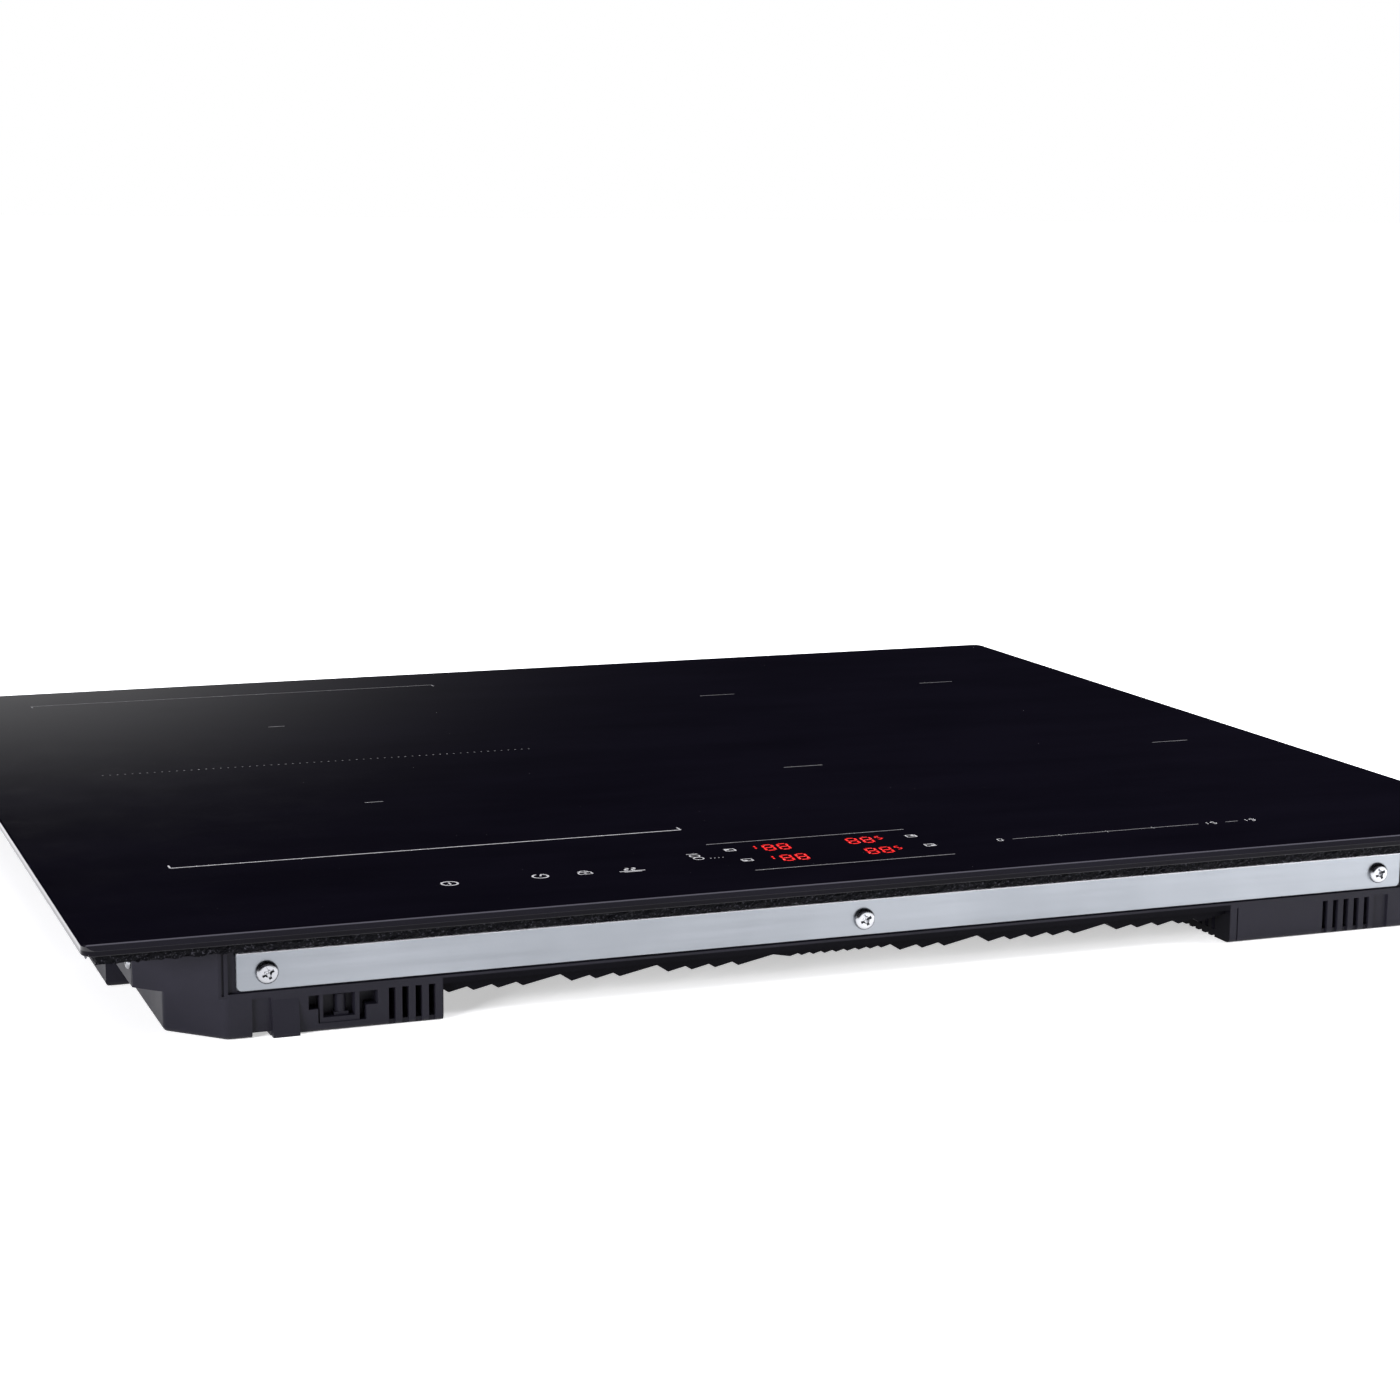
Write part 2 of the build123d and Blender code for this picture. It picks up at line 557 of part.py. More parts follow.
# ---------------------------------------------------------------- rails and screws
def rail(side):
    """Stepped rail: web outside the tub, shelf over its wall, flange glued to the glass."""
    shelf_end = RAIL_FACE - RAIL_SHELF
    flange_end = shelf_end - RAIL_GLUE_FLANGE + RAIL_THICKNESS
    profile = (
        (RAIL_FACE, RAIL_BOTTOM),
        (RAIL_FACE, RAIL_TOP),
        (shelf_end + RAIL_THICKNESS, RAIL_TOP),
        (shelf_end + RAIL_THICKNESS, GLASS_BOTTOM),
        (flange_end, GLASS_BOTTOM),
        (flange_end, GLASS_BOTTOM - RAIL_THICKNESS),
        (shelf_end, GLASS_BOTTOM - RAIL_THICKNESS),
        (shelf_end, RAIL_TOP - RAIL_THICKNESS),
        (RAIL_BED, RAIL_TOP - RAIL_THICKNESS),
        (RAIL_BED, RAIL_BOTTOM),
    )
    with BuildPart() as body:
        with BuildSketch(Plane.YZ) as section:
            with BuildLine():
                Polyline(*[(side * y, z) for y, z in profile], close=True)
            make_face()
            fillet(section.vertices().sort_by_distance((side * RAIL_FACE, RAIL_TOP))[0], RAIL_BEND)
        extrude(amount=RAIL_LENGTH / 2, both=True)
        along_y = body.edges().filter_by(Axis.Y)
        fillet(along_y.filter_by(lambda e: e.center().Z < RAIL_BOTTOM + RAIL_EDGE), RAIL_CORNER)
        hole_places = [(x, side * RAIL_FACE, RAIL_SCREW_HEIGHT) for x in RAIL_SCREW_X]
        with Locations([Location(place, (90, 0, 0)) for place in hole_places]):
            Cylinder(RAIL_HOLE_RADIUS, 6, mode=Mode.SUBTRACT)
        outer_face = body.faces().filter_by(Plane.XZ).sort_by(Axis.Y)[-1 if side > 0 else 0]
        rim = outer_face.outer_wire().edges()
        chamfer(rim.filter_by(lambda e: e.center().Z < RAIL_TOP - 2 * RAIL_BEND), RAIL_EDGE)
    return body.part


for name, side in (("front_rail", -1), ("rear_rail", 1)):
    save(rail(side), name)


def pan_screw(head_radius, head_height, shank_radius, shank_length):
    """Pan-head screw with a cross recess, head up, its bearing face at z = 0."""
    with BuildPart() as screw:
        with Locations((0, 0, head_height / 2)):
            Cylinder(head_radius, head_height)
        fillet(screw.edges().sort_by(Axis.Z)[-1], head_height * 0.8)
        with Locations((0, 0, -shank_length / 2)):
            Cylinder(shank_radius, shank_length)
        chamfer(screw.edges().sort_by(Axis.Z)[0], shank_radius * 0.4)
        recess = head_height * 0.7
        with Locations((0, 0, head_height - recess / 2)):
            Cone(head_radius * 0.1, head_radius * 0.34, recess, mode=Mode.SUBTRACT)
        for angle in (0, 90):
            with Locations(Location((0, 0, head_height), (0, 0, angle))):
                Box(head_radius * 1.1, head_radius * 0.27, recess * 1.7, mode=Mode.SUBTRACT)
    return screw.part


def save_screws(name, screw, places):
    """Write one node holding a copy of a screw at each place."""
    with BuildPart() as group:
        with Locations(places):
            add(screw)
    save(group.part, name)


rail_screw = pan_screw(4.25, 2.2, 1.9, 8)
small_screw = pan_screw(2.6, 1.6, 1.4, 5.2)
rail_places = [
    Location((x, side * RAIL_FACE, RAIL_SCREW_HEIGHT), (-side * 90, 0, turn))
    for side, turn in ((-1, 25), (1, 10))
    for x in RAIL_SCREW_X
]
save_screws("rail_screws", rail_screw, rail_places)
inner_places = [Location((x, y, TRAY_TOP)) for x, y in TRAY_POSTS]
inner_places += [Location((x, y, BOARD_TOP)) for side in BOARD_CENTRES for x, y in board_screw_points(side)]
save_screws("inner_screws", small_screw, inner_places)

# ---------------------------------------------------------------- side spring clips
CLIP_WIDTH = 16
CLIP_THICKNESS = 0.8
CLIP_ROOT = 20.5
CLIP_TOP = 33
CLIP_BULGE = 281.2
CLIP_BULGE_HEIGHT = 10
CLIP_TIP = 279.4
CLIP_TIP_HEIGHT = 3.4
CLIP_FACE = BODY_SIDE + CLIP_THICKNESS
CLIP_PLACES = {
    "front_left": (-1, CLIP_Y[0]),
    "rear_left": (-1, CLIP_Y[1]),
    "front_right": (1, CLIP_Y[0]),
    "rear_right": (1, CLIP_Y[1]),
}

with BuildPart() as clip_plates:
    for side, y in CLIP_PLACES.values():
        faces = sorted((side * BODY_SIDE, side * CLIP_FACE))
        block(faces, (y - CLIP_WIDTH / 2, y + CLIP_WIDTH / 2), (CLIP_ROOT + 0.9, CLIP_TOP))
        with Locations(Location((side * BODY_SIDE, y, CLIP_SCREW_HEIGHT), (0, 90, 0))):
            Cylinder(SIDE_HOLE_RADIUS, 6, mode=Mode.SUBTRACT)
save(clip_plates.part, "clip_plates")
side_places = [
    Location((side * CLIP_FACE, y, CLIP_SCREW_HEIGHT), (0, side * 90, 0)) for side, y in CLIP_PLACES.values()
]
side_places += [
    Location((side * BODY_SIDE, y, RAIL_SCREW_HEIGHT), (0, side * 90, 0))
    for side in (-1, 1)
    for y in CORNER_SCREW_Y
]
save_screws("side_screws", small_screw, side_places)

for place, (side, y) in CLIP_PLACES.items():
    with BuildPart() as clip_leaf:
        with BuildSketch(Plane.XZ.offset(-y - CLIP_WIDTH / 2)):
            with BuildLine():
                Polyline(
                    (side * (BODY_SIDE + 0.3), CLIP_ROOT),
                    (side * (BODY_SIDE + 0.3 + CLIP_THICKNESS), CLIP_ROOT + 0.4),
                    (side * CLIP_BULGE, CLIP_BULGE_HEIGHT),
                    (side * CLIP_TIP, CLIP_TIP_HEIGHT),
                    (side * (CLIP_TIP - CLIP_THICKNESS), CLIP_TIP_HEIGHT + 0.3),
                    (side * (CLIP_BULGE - CLIP_THICKNESS - 0.1), CLIP_BULGE_HEIGHT),
                    close=True,
                )
            make_face()
        extrude(amount=CLIP_WIDTH)
    save(clip_leaf.part, f"clip_leaf_{place}")

# ---------------------------------------------------------------- coil tray
TRAY_SIDE = 268
TRAY_FRONT = -168
TRAY_BACK = 231
TRAY_FLANGE = 5
with BuildPart() as coil_tray:
    block((-TRAY_SIDE, TRAY_SIDE), (TRAY_FRONT, TRAY_BACK), (TRAY_HEIGHT, TRAY_TOP))
    fillet(coil_tray.edges().filter_by(Axis.Z), 18)
    for y in (TRAY_FRONT, TRAY_BACK - TRAY_THICKNESS):
        flange = (TRAY_HEIGHT - TRAY_FLANGE, TRAY_HEIGHT)
        block((-TRAY_SIDE + 24, TRAY_SIDE - 24), (y, y + TRAY_THICKNESS), flange)
    with Locations([(x, y, TRAY_HEIGHT) for x, y in TRAY_POSTS]):
        Cylinder(1.7, 6, mode=Mode.SUBTRACT)
    # Slots that let cooling air reach the coils.
    for x in (-230, -36, 36, 262):
        for y in (-90, -40, 60, 110):
            block((x - 2, x + 2), (y, y + 30), (TRAY_HEIGHT - 1, TRAY_TOP + 1), mode=Mode.SUBTRACT)
save(coil_tray.part, "coil_tray")

# ---------------------------------------------------------------- induction coils
# Each coil: centre, outer size of the winding, inner size, corner radius, bar length.
COILS = {
    "front_left": ((-147, -59.3), (190, 178), (58, 46), 60, 52),
    "rear_left": ((-147, 128.4), (190, 178), (58, 46), 60, 52),
    "front_right": ((154, -46), (200, 200), (70, 70), 99.9, 58),
    "rear_right": ((154, 145), (140, 140), (50, 50), 69.9, 38),
}
CARRIER_MARGIN = 2.6
FERRITE_HEIGHT = 2.2
FERRITE_WIDTH = 13
FERRITE_COUNT = 8
SENSOR_RADIUS = 7
MICA_THICKNESS = 0.5


def coil_carrier(centre, size, corner):
    """Plastic plate with a rim, a hub hole and air slots between the ferrite bars."""
    width, depth = size[0] + 2 * CARRIER_MARGIN, size[1] + 2 * CARRIER_MARGIN
    with BuildPart() as carrier:
        with BuildSketch(Plane.XY.offset(CARRIER_HEIGHT)):
            with Locations(centre):
                RectangleRounded(width, depth, corner + CARRIER_MARGIN - 0.2)
                Circle(SENSOR_RADIUS + 1, mode=Mode.SUBTRACT)
        extrude(amount=CARRIER_THICKNESS)
        with BuildSketch(Plane.XY.offset(WINDING_BOTTOM)):
            with Locations(centre):
                RectangleRounded(width, depth, corner + CARRIER_MARGIN - 0.2)
                RectangleRounded(width - 3.2, depth - 3.2, corner + CARRIER_MARGIN - 1.8, mode=Mode.SUBTRACT)
        extrude(amount=3)
        with BuildSketch(Plane.XY.offset(CARRIER_HEIGHT - 1)):
            with Locations(centre):
                with PolarLocations(size[1] * 0.3, FERRITE_COUNT, start_angle=180 / FERRITE_COUNT):
                    SlotOverall(size[1] * 0.2, 6)
        extrude(amount=CARRIER_THICKNESS + 2, mode=Mode.SUBTRACT)
    return carrier.part


def winding(centre, size, inner, corner):
    """Flat spiral of stranded wire, as rings on a thin common backing."""
    turns = floor((size[0] - inner[0]) / 2 / TURN_PITCH)
    with BuildPart() as coil:
        with BuildSketch(Plane.XY.offset(WINDING_BOTTOM)):
            with Locations(centre):
                RectangleRounded(*size, corner)
                last = turns * TURN_PITCH
                hole = (size[0] - 2 * last, size[1] - 2 * last)
                RectangleRounded(*hole, max(corner - last, LEAST_TURN_CORNER), mode=Mode.SUBTRACT)
        extrude(amount=WINDING_BACKING)
        with BuildSketch(Plane.XY.offset(WINDING_BOTTOM)):
            with Locations(centre):
                for start in [i * TURN_PITCH for i in range(turns)]:
                    for inset, mode in ((start, Mode.ADD), (start + TURN_WIDTH, Mode.SUBTRACT)):
                        ring = (size[0] - 2 * inset, size[1] - 2 * inset)
                        ring_corner = max(corner - inset, LEAST_TURN_CORNER)
                        RectangleRounded(*ring, min(ring_corner, min(ring) / 2 - 0.1), mode=mode)
        extrude(amount=WINDING_HEIGHT)
    return coil.part


for place, (centre, size, inner, corner, bar_length) in COILS.items():
    save(coil_carrier(centre, size, corner), f"coil_carrier_{place}")
    save(winding(centre, size, inner, corner), f"winding_{place}")

    with BuildPart() as ferrite_bars:
        bar_middle = SENSOR_RADIUS + 11 + bar_length / 2
        with BuildSketch(Plane.XY.offset(CARRIER_HEIGHT - FERRITE_HEIGHT)):
            with Locations(centre):
                with PolarLocations(bar_middle, FERRITE_COUNT):
                    Rectangle(bar_length, FERRITE_WIDTH)
        extrude(amount=FERRITE_HEIGHT)
    save(ferrite_bars.part, f"ferrite_bars_{place}")

    with BuildPart() as insulation_sheet:
        with BuildSketch(Plane.XY.offset(WINDING_TOP + 0.1)):
            with Locations(centre):
                RectangleRounded(*size, corner)
                Circle(SENSOR_RADIUS + 0.5, mode=Mode.SUBTRACT)
        extrude(amount=MICA_THICKNESS)
    save(insulation_sheet.part, f"insulation_sheet_{place}")

    with BuildPart() as heat_sensor:
        rod(*centre, TRAY_TOP, TRAY_TOP + 1.5, SENSOR_RADIUS)
        rod(*centre, TRAY_TOP, WINDING_TOP, SENSOR_RADIUS - 2.5)
        rod(*centre, WINDING_TOP - 1.5, GLASS_BOTTOM, SENSOR_RADIUS - 0.5)
        fillet(heat_sensor.edges().sort_by(Axis.Z)[-1], 0.3)
    save(heat_sensor.part, f"heat_sensor_{place}")

# ---------------------------------------------------------------- power electronics
HEAT_SINK_WIDTH = 62
HEAT_SINK_Y = (16, 96)
HEAT_SINK_TOP = 25
FIN_PITCH = 5
FIN_THICKNESS = 1.6
PART_BASE = BOARD_TOP + 0.1

for side in ("left", "right"):
    board_x, board_y = BOARD_CENTRES[side]
    board_width, board_depth = BOARD_SIZES[side]
    fan_x = FAN_CENTRES[side][0]
    with BuildPart() as power_board:
        with BuildSketch(Plane.XY.offset(BOARD_HEIGHT)):
            with Locations((board_x, board_y)):
                RectangleRounded(board_width, board_depth, 3)
            with Locations(board_screw_points(side)):
                Circle(1.6, mode=Mode.SUBTRACT)
        extrude(amount=BOARD_THICKNESS)
    save(power_board.part, f"power_board_{side}")

    with BuildPart() as heat_sink:
        half_width = HEAT_SINK_WIDTH / 2
        block((fan_x - half_width, fan_x + half_width), HEAT_SINK_Y, (PART_BASE, PART_BASE + 4))
        fin_count = floor(HEAT_SINK_WIDTH / FIN_PITCH)
        for i in range(fin_count + 1):
            x = fan_x - half_width + i * (HEAT_SINK_WIDTH - FIN_THICKNESS) / fin_count
            block((x, x + FIN_THICKNESS), HEAT_SINK_Y, (PART_BASE + 3, HEAT_SINK_TOP))
    save(heat_sink.part, f"heat_sink_{side}")

    with BuildPart() as power_transistors:
        for i in range(4):
            y = HEAT_SINK_Y[0] + 4 + i * 19
            x = fan_x - HEAT_SINK_WIDTH / 2
            block((x - 5, x), (y, y + 15.6), (PART_BASE + 3, HEAT_SINK_TOP - 2))
            for leg in (-5.4, 0, 5.4):
                leg_y = y + 7.8 + leg
                block((x - 3, x - 2.2), (leg_y - 0.6, leg_y + 0.6), (PART_BASE, PART_BASE + 3))
    save(power_transistors.part, f"power_transistors_{side}")

    with BuildPart() as capacitors:
        for i in range(3):
            x = board_x - 62 + i * 44
            block((x, x + 32), (board_y - 88, board_y - 70), (PART_BASE, PART_BASE + 17))
            block((x, x + 32), (board_y - 62, board_y - 46), (PART_BASE, PART_BASE + 15))
        fillet(capacitors.edges().filter_by(Axis.Z), 1)
    save(capacitors.part, f"capacitors_{side}")

    with BuildPart() as choke_coils:
        for i in (0, 1):
            centre = (board_x - 42 + i * 60, board_y - 18)
            with Locations((*centre, PART_BASE + 7.5)):
                Cylinder(17, 15)
                Cylinder(7, 16, mode=Mode.SUBTRACT)
        fillet(choke_coils.edges().filter_by(GeomType.CIRCLE), 3)
    save(choke_coils.part, f"choke_coils_{side}")

with BuildPart() as filter_module:
    block((150, 240), (126, 196), (FLOOR, FLOOR + 1.6))
    block((158, 186), (134, 150), (FLOOR + 1.6, 17))
    block((196, 222), (134, 150), (FLOOR + 1.6, 15))
    with Locations((190, 174, 10)):
        Cylinder(14, 13)
        Cylinder(6, 14, mode=Mode.SUBTRACT)
    block((176, 204), (172.6, 175.4), (FLOOR + 1, 12))
save(filter_module.part, "filter_module")

# ---------------------------------------------------------------- controls under the glass
HOLDER_X = (-172, 208)
HOLDER_Y = (-223, -178)
HOLDER_Z = (31, 38.6)
HOLDER_WALL = 1.4
LEDGE = 33
CONTROL_BOARD_TOP = LEDGE + 1.2
DISPLAY_SIZE = (17.5, 12, 4)
DISPLAY_CENTRES = [(-17.2, -195.3), (-17.2, -214), (22.6, -195.7), (22.2, -214.2)]
KEY_Y = -212.4
KEY_X = (-156.2, -120.5, -102.8, -84.5, -51.6, 74.1, 96, 118, 140, 162, 184)

with BuildPart() as control_holder:
    block(HOLDER_X, HOLDER_Y, HOLDER_Z)
    inside_x = (HOLDER_X[0] + HOLDER_WALL, HOLDER_X[1] - HOLDER_WALL)
    inside_y = (HOLDER_Y[0] + HOLDER_WALL, HOLDER_Y[1] - HOLDER_WALL)
    block(inside_x, inside_y, (LEDGE, HOLDER_Z[1] + 1), mode=Mode.SUBTRACT)
    ledge_x = (inside_x[0] + 3, inside_x[1] - 3)
    ledge_y = (inside_y[0] + 3, inside_y[1] - 3)
    block(ledge_x, ledge_y, (HOLDER_Z[0] + 1, LEDGE + 1), mode=Mode.SUBTRACT)
    block((52, 76), (HOLDER_Y[1] - 3, HOLDER_Y[1] + 1), (LEDGE + 1.4, HOLDER_Z[1] + 1), mode=Mode.SUBTRACT)
save(control_holder.part, "control_holder")

with BuildPart() as control_board:
    block(
        (inside_x[0] + 0.3, inside_x[1] - 0.3),
        (inside_y[0] + 0.3, inside_y[1] - 0.3),
        (LEDGE, CONTROL_BOARD_TOP),
    )
    fillet(control_board.edges().filter_by(Axis.Z), 1)
save(control_board.part, "control_board")

with BuildPart() as display_modules:
    width, depth, height = DISPLAY_SIZE
    with Locations([(x, y, CONTROL_BOARD_TOP + height / 2) for x, y in DISPLAY_CENTRES]):
        Box(width, depth, height)
    chamfer(display_modules.faces().filter_by(Axis.Z).group_by(Axis.Z)[-1].edges(), 0.3)
save(display_modules.part, "display_modules")

# Sprung contact rings, which touch the underside of the glass below each key.
with BuildPart() as key_springs:
    with BuildSketch(Plane.XY.offset(CONTROL_BOARD_TOP)):
        with Locations([(x, KEY_Y) for x in KEY_X]):
            Circle(4)
            Circle(3.2, mode=Mode.SUBTRACT)
    extrude(amount=GLASS_BOTTOM - CONTROL_BOARD_TOP)
save(key_springs.part, "key_springs")

# Flat cable from the control board, over the holder's edge, down to the right power board.
RIBBON_X = (54, 74)
RIBBON_THICKNESS = 0.6
RIBBON_TOP = LEDGE + 2.2
RIBBON_DROP = HOLDER_Y[1] + 3
RIBBON_LOW = SEAM_HEIGHT + 2
RIBBON_DOWN = RECESS_BACK + 8
RIBBON_END = BOARD_CENTRES["right"][1] - BOARD_SIZES["right"][1] / 2 + 6
with BuildPart() as ribbon_cable:
    with BuildSketch(Plane.YZ.offset(RIBBON_X[0])):
        with BuildLine():
            route = FilletPolyline(
                (HOLDER_Y[1] - 8, CONTROL_BOARD_TOP + 0.3),
                (HOLDER_Y[1] - 5, RIBBON_TOP),
                (RIBBON_DROP, RIBBON_TOP),
                (RIBBON_DROP, RIBBON_LOW),
                (RIBBON_DOWN, RIBBON_LOW),
                (RIBBON_DOWN, PART_BASE + 0.3),
                (RIBBON_END, PART_BASE + 0.3),
                radius=1,
            )
        trace(route, RIBBON_THICKNESS)
    extrude(amount=RIBBON_X[1] - RIBBON_X[0])
save(ribbon_cable.part, "ribbon_cable")

# ---------------------------------------------------------------- cooling fans
HOUSING_Z = (FLOOR, 25)
HOUSING_WALL = 1.5
HOUSING_RADIUS = 45
OUTLET_HALF_WIDTH = 31
OUTLET_FRONT = 112
INTAKE_RADIUS = 31
MOTOR_RADIUS = 12.5
SHAFT_RADIUS = 1.5
BLADE_COUNT = 29

for side, (x, y) in FAN_CENTRES.items():
    cavity = (HOUSING_Z[0] + HOUSING_WALL, HOUSING_Z[1] - HOUSING_WALL)
    with BuildPart() as fan_housing:
        with BuildSketch(Plane.XY.offset(HOUSING_Z[0])):
            with Locations((x, y)):
                Circle(HOUSING_RADIUS)
            with Locations((x, (y + OUTLET_FRONT) / 2)):
                Rectangle(2 * OUTLET_HALF_WIDTH, y - OUTLET_FRONT)
        extrude(amount=HOUSING_Z[1] - HOUSING_Z[0])
        with BuildSketch(Plane.XY.offset(cavity[0])):
            with Locations((x, y)):
                Circle(HOUSING_RADIUS - HOUSING_WALL)
            with Locations((x, (y + OUTLET_FRONT) / 2 - 1)):
                Rectangle(2 * (OUTLET_HALF_WIDTH - HOUSING_WALL), y - OUTLET_FRONT + 2)
        extrude(amount=cavity[1] - cavity[0], mode=Mode.SUBTRACT)
        rod(x, y, HOUSING_Z[0] - 1, cavity[0] + 1, INTAKE_RADIUS, mode=Mode.SUBTRACT)
    save(fan_housing.part, f"fan_housing_{side}")

    with BuildPart() as fan_motor:
        rod(x, y, 13, cavity[1], MOTOR_RADIUS)
        rod(x, y, cavity[1] - 2, cavity[1], MOTOR_RADIUS + 4)
        rod(x, y, 12, cavity[1] + 1, SHAFT_RADIUS + RUNNING_CLEARANCE, mode=Mode.SUBTRACT)
        with Locations((x, y, 0)):
            with PolarLocations(MOTOR_RADIUS, 6):
                with Locations((0, 0, 16)):
                    Box(4, 3.4, 5, mode=Mode.SUBTRACT)
    save(fan_motor.part, f"fan_motor_{side}")

    with BuildPart() as impeller:
        rod(x, y, 9, 10.6, MOTOR_RADIUS + 2.8)
        rod(x, y, 9, 19.4, MOTOR_RADIUS + 2.8)
        rod(x, y, 10.6, 20, MOTOR_RADIUS + 1.3, mode=Mode.SUBTRACT)
        rod(x, y, 9, 21, SHAFT_RADIUS)
        rod(x, y, 18.2, 19.4, FAN_RADIUS)
        rod(x, y, 17, 20, MOTOR_RADIUS + 1.3, mode=Mode.SUBTRACT)
        rod(x, y, 17, 20.9, SHAFT_RADIUS)
        with BuildSketch(Plane.XY.offset(5.2)):
            with Locations((x, y)):
                with PolarLocations(FAN_RADIUS - 6, BLADE_COUNT):
                    with Locations(Location((0, 0), 32)):
                        Rectangle(11, 1)
                Circle(FAN_RADIUS, mode=Mode.INTERSECT)
        extrude(amount=13.4)
        with BuildSketch(Plane.XY.offset(5.2)):
            with Locations((x, y)):
                Circle(FAN_RADIUS)
                Circle(FAN_RADIUS - 1.6, mode=Mode.SUBTRACT)
        extrude(amount=1.4)
    save(impeller.part, f"impeller_{side}")

# ---------------------------------------------------------------- terminal bay
POLE_PITCH = 12
POLE_COUNT = 5
TERMINAL_X = 200
TERMINAL_BACK = 227
POLES = [TERMINAL_X + (i - (POLE_COUNT - 1) / 2) * POLE_PITCH for i in range(POLE_COUNT)]
with BuildPart() as terminal_block:
    half_width = POLE_COUNT * POLE_PITCH / 2
    block((TERMINAL_X - half_width, TERMINAL_X + half_width), (209, TERMINAL_BACK), (FLOOR, 14))
    for x in POLES:
        block((x - 3.6, x + 3.6), (TERMINAL_BACK - 7, TERMINAL_BACK + 1), (3.4, 6.6), mode=Mode.SUBTRACT)
        with Locations(Location((x, TERMINAL_BACK, 10.4), (90, 0, 0))):
            Cylinder(2.7, 6, mode=Mode.SUBTRACT)
            Cylinder(1.5, 20, mode=Mode.SUBTRACT)
    for x in POLES[:-1]:
        wall_x = x + POLE_PITCH / 2
        block((wall_x - 0.7, wall_x + 0.7), (TERMINAL_BACK, TERMINAL_BACK + 3), (FLOOR, 14))
save(terminal_block.part, "terminal_block")

terminal_screw = pan_screw(2.5, 1.6, 1.4, 6)
terminal_places = [Location((x, TERMINAL_BACK - 3, 10.4), (-90, 0, 0)) for x in POLES]
save_screws("terminal_screws", terminal_screw, terminal_places)

COVER_GAP = 0.5
COVER_THICKNESS = 1.9
with BuildPart() as terminal_cover:
    cover_x = (COVER_LEFT + COVER_GAP, COVER_RIGHT - COVER_GAP)
    cover_y = (HINGE_Y - 0.3, HINGE_Y - 0.3 + COVER_THICKNESS)
    block(cover_x, cover_y, (FLOOR + 0.4, HINGE_Z))
    for i in range(6):
        rib_x = cover_x[0] + 12 + i * 15
        block((rib_x, rib_x + 1.2), (cover_y[0] - 1.6, cover_y[0]), (FLOOR + 1.5, HINGE_Z - 2.4))
    with Locations(hinge_line):
        Cylinder(1.6, cover_x[1] - cover_x[0])
        Cylinder(PIN_RADIUS, COVER_RIGHT - COVER_LEFT + 2 * PIN_LENGTH)
    # Finger lip along the lower edge.
    block((190, 210), (cover_y[1] - 0.4, cover_y[1] + 1.1), (FLOOR + 0.4, FLOOR + 2))
save(terminal_cover.part, "terminal_cover")

# Soft bushing through the rear wall, where the supply cable goes in.
BUSHING_BORE = 5
with BuildPart() as cable_bushing:
    with Locations(Location((INLET_X, BODY_BACK - 2.6, INLET_Z), (90, 0, 0))):
        Cylinder(INLET_HOLE_RADIUS - 0.05, 8.8)
    with Locations(Location((INLET_X, BODY_BACK + 0.9, INLET_Z), (90, 0, 0))):
        Cylinder(INLET_HOLE_RADIUS + 1.1, 1.8)
    with Locations(Location((INLET_X, BODY_BACK, INLET_Z), (90, 0, 0))):
        Cylinder(BUSHING_BORE, 30, mode=Mode.SUBTRACT)
    rim = cable_bushing.edges().filter_by(GeomType.CIRCLE).group_by(Axis.Y)[-1].sort_by(SortBy.RADIUS)[-1]
    fillet(rim, 0.7)
save(cable_bushing.part, "cable_bushing")
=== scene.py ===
"""Looks of a built-in induction cooktop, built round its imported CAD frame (metres)."""
import json
import math

import bpy
import bmesh
from mathutils import Matrix, Vector, noise


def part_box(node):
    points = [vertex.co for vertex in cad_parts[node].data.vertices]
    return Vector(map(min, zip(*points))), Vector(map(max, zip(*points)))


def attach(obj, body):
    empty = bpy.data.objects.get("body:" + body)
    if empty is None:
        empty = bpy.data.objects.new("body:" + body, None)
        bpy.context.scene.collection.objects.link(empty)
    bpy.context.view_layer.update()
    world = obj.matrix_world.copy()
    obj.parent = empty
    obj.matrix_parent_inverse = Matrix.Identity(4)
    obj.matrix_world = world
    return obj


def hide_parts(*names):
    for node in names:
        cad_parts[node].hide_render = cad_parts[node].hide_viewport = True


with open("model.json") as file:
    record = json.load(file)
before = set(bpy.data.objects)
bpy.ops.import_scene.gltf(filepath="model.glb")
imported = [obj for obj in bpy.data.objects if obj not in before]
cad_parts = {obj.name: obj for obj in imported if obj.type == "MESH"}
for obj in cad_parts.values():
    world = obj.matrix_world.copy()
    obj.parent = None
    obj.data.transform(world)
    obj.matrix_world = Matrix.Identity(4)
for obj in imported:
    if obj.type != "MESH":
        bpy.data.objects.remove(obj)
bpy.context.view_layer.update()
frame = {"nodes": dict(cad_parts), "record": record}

MM = 0.001
GLASS_LOW, GLASS_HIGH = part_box("glass_plate")
SEAL_LOW, SEAL_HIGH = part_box("foam_seal")
GLASS_TOP = GLASS_HIGH.z
# Printed marks lie this far above the glass.
PRINT_LIFT = 0.03 * MM
# Heights between which the matt ground edge of the glass turns into its polished bevel.
GROUND_EDGE = (GLASS_TOP - 2.2 * MM, GLASS_TOP - 1.9 * MM)
# Painted highlight: where the front bevel meets the top, the arris is tinted lighter.
ARRIS_HIGHLIGHT_HEIGHTS = (GLASS_TOP - 0.5 * MM, GLASS_TOP - 0.3 * MM)
ARRIS_HIGHLIGHT_Y = GLASS_LOW.y + 2.02 * MM
ARRIS_HIGHLIGHT_BLEND = 0.05 * MM
# Painted highlight: the rails' upper bends are tinted bright above this height.
BEND_HIGHLIGHT_Z = 31.1 * MM
BEND_HIGHLIGHT_BLEND = 0.3 * MM
# Painted shade in the outlet between the front blocks, darker and with less sheen: x range and
# height.
OUTLET_X = (-168 * MM, 163 * MM)
OUTLET_TOP = 15.8 * MM
OUTLET_BLEND = 0.4 * MM
OUTLET_SHADE_TINT = (0.25, 0.25, 0.25)
PLASTIC_SPECULAR = 0.11
# Sheen in the outlet, lowered as part of its painted shade.
OUTLET_SHADE_SPECULAR = 0.03
GLASS_SPECULAR = 0.35
GROUND_SPECULAR = 0.06
